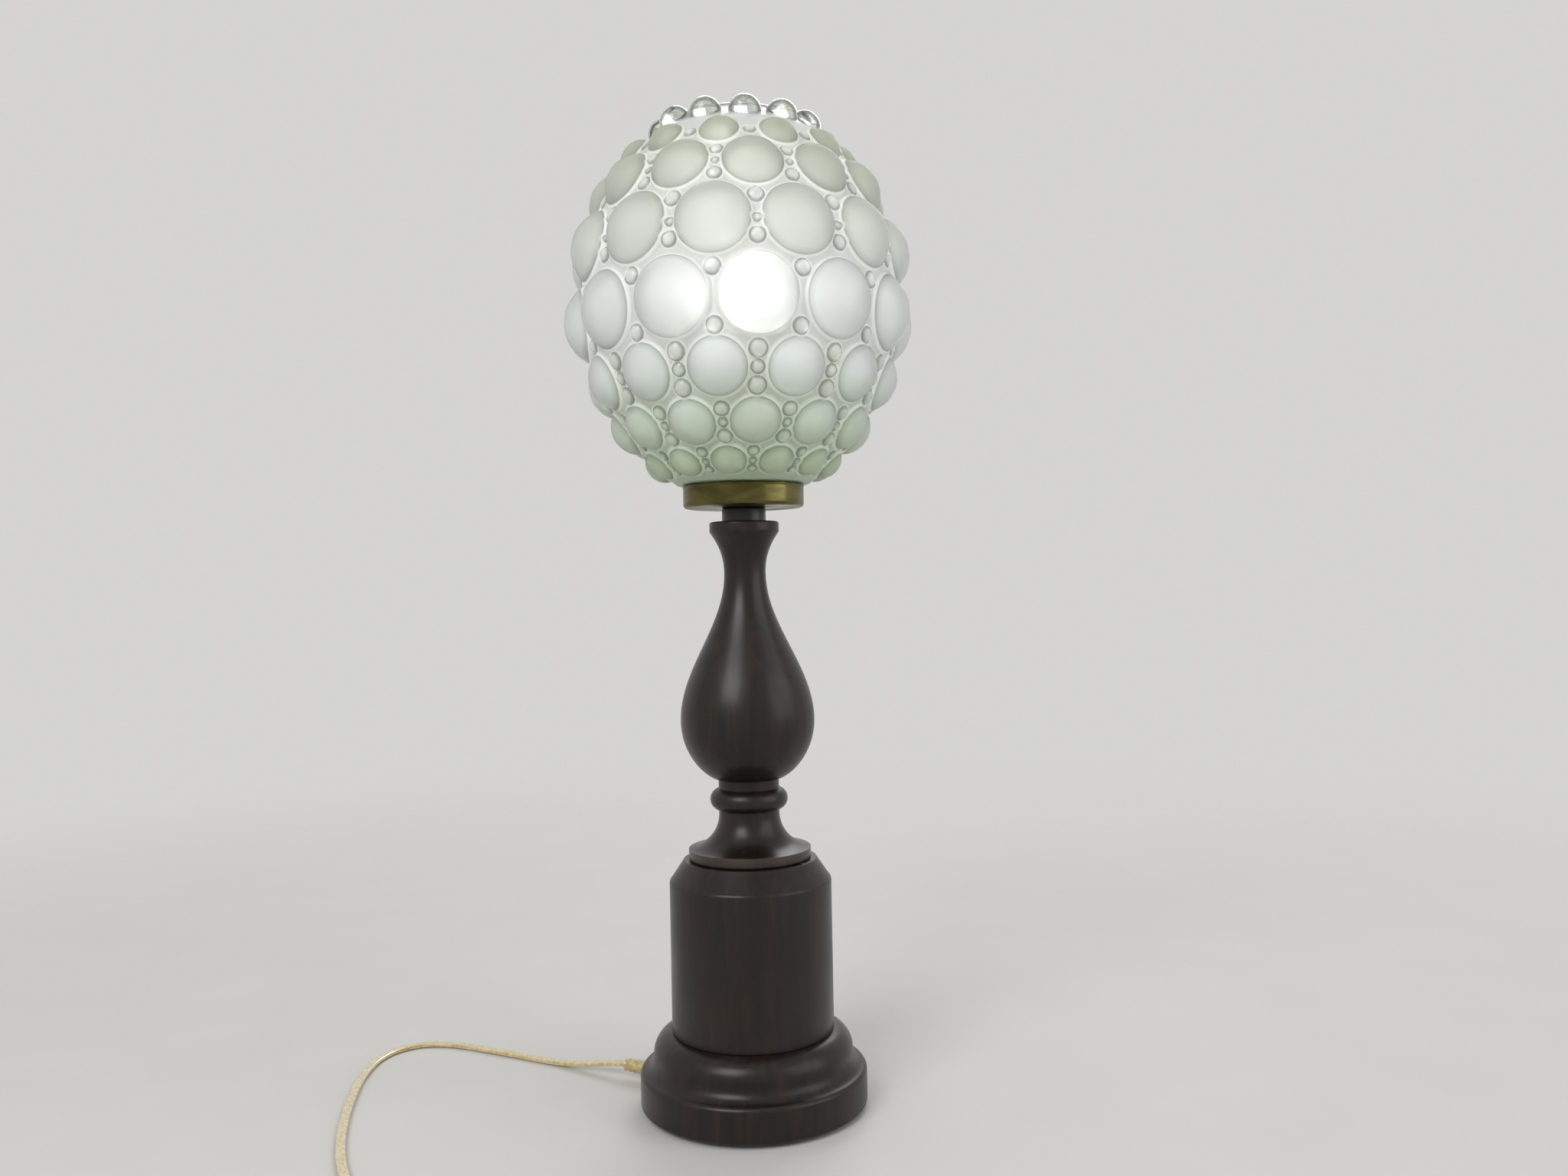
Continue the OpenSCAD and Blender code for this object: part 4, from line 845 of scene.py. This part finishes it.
# Lampholder, bulb and fixings: node, finish, slot and the width of its broken edges
fittings = (
    ("holder_base", creamPlastic, "cream_plastic", 0.0003),
    ("holder_sleeve", creamPlastic, "cream_plastic", 0.0004),
    ("holder_core", porcelain, "porcelain", 0.0004),
    ("bulb_housing", bulbPlastic, "bulb_white", 0.0003),
    ("bulb_dome", opal, "opal", 0),
    ("bulb_insulator", blackInsulator, "black_glass", 0.0002),
    ("bulb_contact", nickel, "nickel", 0.0003),
    ("globe_gasket", rubber, "rubber", 0.0004),
    ("gallery_nut", plainBrass, "bright_brass", 0.0003),
    ("base_nut", zinc, "zinc_steel", 0.0003),
    ("base_washer", zinc, "zinc_steel", 0.0002),
    ("threaded_tube", zinc, "zinc_steel", 0.0002),
    ("terminal_screws", nickel, "nickel", 0.0002),
    ("screw_shell", plainBrass, "bright_brass", 0.0001),
    ("centre_contact", plainBrass, "bright_brass", 0.0001),
    ("bulb_cap", nickel, "nickel", 0.0001),
    ("inner_flex", copper, "flex_core", 0),
)
for node, finish, slot, edge in fittings:
    softCopy(node, finish, edge)
print("lampholder and bulb finished")

# Floor that fades out into a pale surround, and soft studio light
stageSet = {
    "floorRadius": 3,
    "floorDrop": 0.0002,       # clear of the felt
    "floor": (0.62, 0.61, 0.59),
    "floorLight": (0.64, 0.63, 0.61),
    "surround": (0.66, 0.655, 0.64),
    "fadeFrom": 0.35,          # metres from the lamp at which the floor starts to melt into the surround
    "fadeTo": 1.5,
    "worldLight": 0.50,
    "worldColour": (1, 0.99, 0.97),
    "aim": (0, 0, 0.25),       # where the studio's lamps point
}
bm = bmesh.new()
bmesh.ops.create_circle(bm, cap_ends=True, segments=64, radius=stageSet["floorRadius"])
floorMesh = bpy.data.meshes.new("floor")
bm.to_mesh(floorMesh)
bm.free()
floor = bpy.data.objects.new("floor", floorMesh)
scene.collection.objects.link(floor)
floor.location.z = -stageSet["floorDrop"]
floorFinish, tree, shader = newMaterial("pale floor")
setSockets(shader, roughness=0.7)
tree.links.new(ramp(tree, noise(tree, 12, 5), (0.3, stageSet["floor"]), (0.7, stageSet["floorLight"])),
               shader.inputs["Base Color"])
distance = tree.nodes.new("ShaderNodeVectorMath")
distance.operation = "LENGTH"
tree.links.new(objectPoint(tree), distance.inputs[0])
fade = tree.nodes.new("ShaderNodeMapRange")
fade.interpolation_type = "SMOOTHSTEP"
fade.inputs["From Min"].default_value = stageSet["fadeFrom"]
fade.inputs["From Max"].default_value = stageSet["fadeTo"]
tree.links.new(distance.outputs["Value"], fade.inputs["Value"])
seeThrough = tree.nodes.new("ShaderNodeBsdfTransparent")
blendOut = tree.nodes.new("ShaderNodeMixShader")
tree.links.new(fade.outputs["Result"], blendOut.inputs[0])
tree.links.new(shader.outputs[0], blendOut.inputs[1])
tree.links.new(seeThrough.outputs[0], blendOut.inputs[2])
tree.links.new(blendOut.outputs[0], tree.nodes["Material Output"].inputs["Surface"])
floorMesh.materials.append(floorFinish)

world = bpy.data.worlds.new("studio")
world.use_nodes = True
scene.world = world
tree = world.node_tree
lit = tree.nodes["Background"]
lit.inputs["Color"].default_value = (*stageSet["worldColour"], 1)
lit.inputs["Strength"].default_value = stageSet["worldLight"]
seen = tree.nodes.new("ShaderNodeBackground")
seen.inputs["Color"].default_value = (*stageSet["surround"], 1)
rays = tree.nodes.new("ShaderNodeLightPath")
either = rays.outputs["Is Camera Ray"]
for kind in ("Is Glossy Ray", "Is Transmission Ray"):
    add = tree.nodes.new("ShaderNodeMath")
    add.operation = "MAXIMUM"
    tree.links.new(either, add.inputs[0])
    tree.links.new(rays.outputs[kind], add.inputs[1])
    either = add.outputs[0]
choose = tree.nodes.new("ShaderNodeMixShader")
tree.links.new(either, choose.inputs[0])
tree.links.new(lit.outputs[0], choose.inputs[1])
tree.links.new(seen.outputs[0], choose.inputs[2])
tree.links.new(choose.outputs[0], tree.nodes["World Output"].inputs["Surface"])

studioLamps = {    # place, power in watts, size in metres
    "key": ((-1.1, -1.4, 1.5), 22, 1.1),
    "fill": ((1.5, -0.9, 0.9), 9, 1.4),
    "back": ((0.5, 1.4, 1.4), 10, 1.0),
}
for name, (place, power, size) in studioLamps.items():
    lamp = bpy.data.objects.new(name, bpy.data.lights.new(name, "AREA"))
    lamp.data.energy = power
    lamp.data.size = size
    lamp.location = place
    lamp.rotation_euler = (Vector(stageSet["aim"]) - lamp.location).to_track_quat("-Z", "Y").to_euler()
    scene.collection.objects.link(lamp)
print("stage lit")
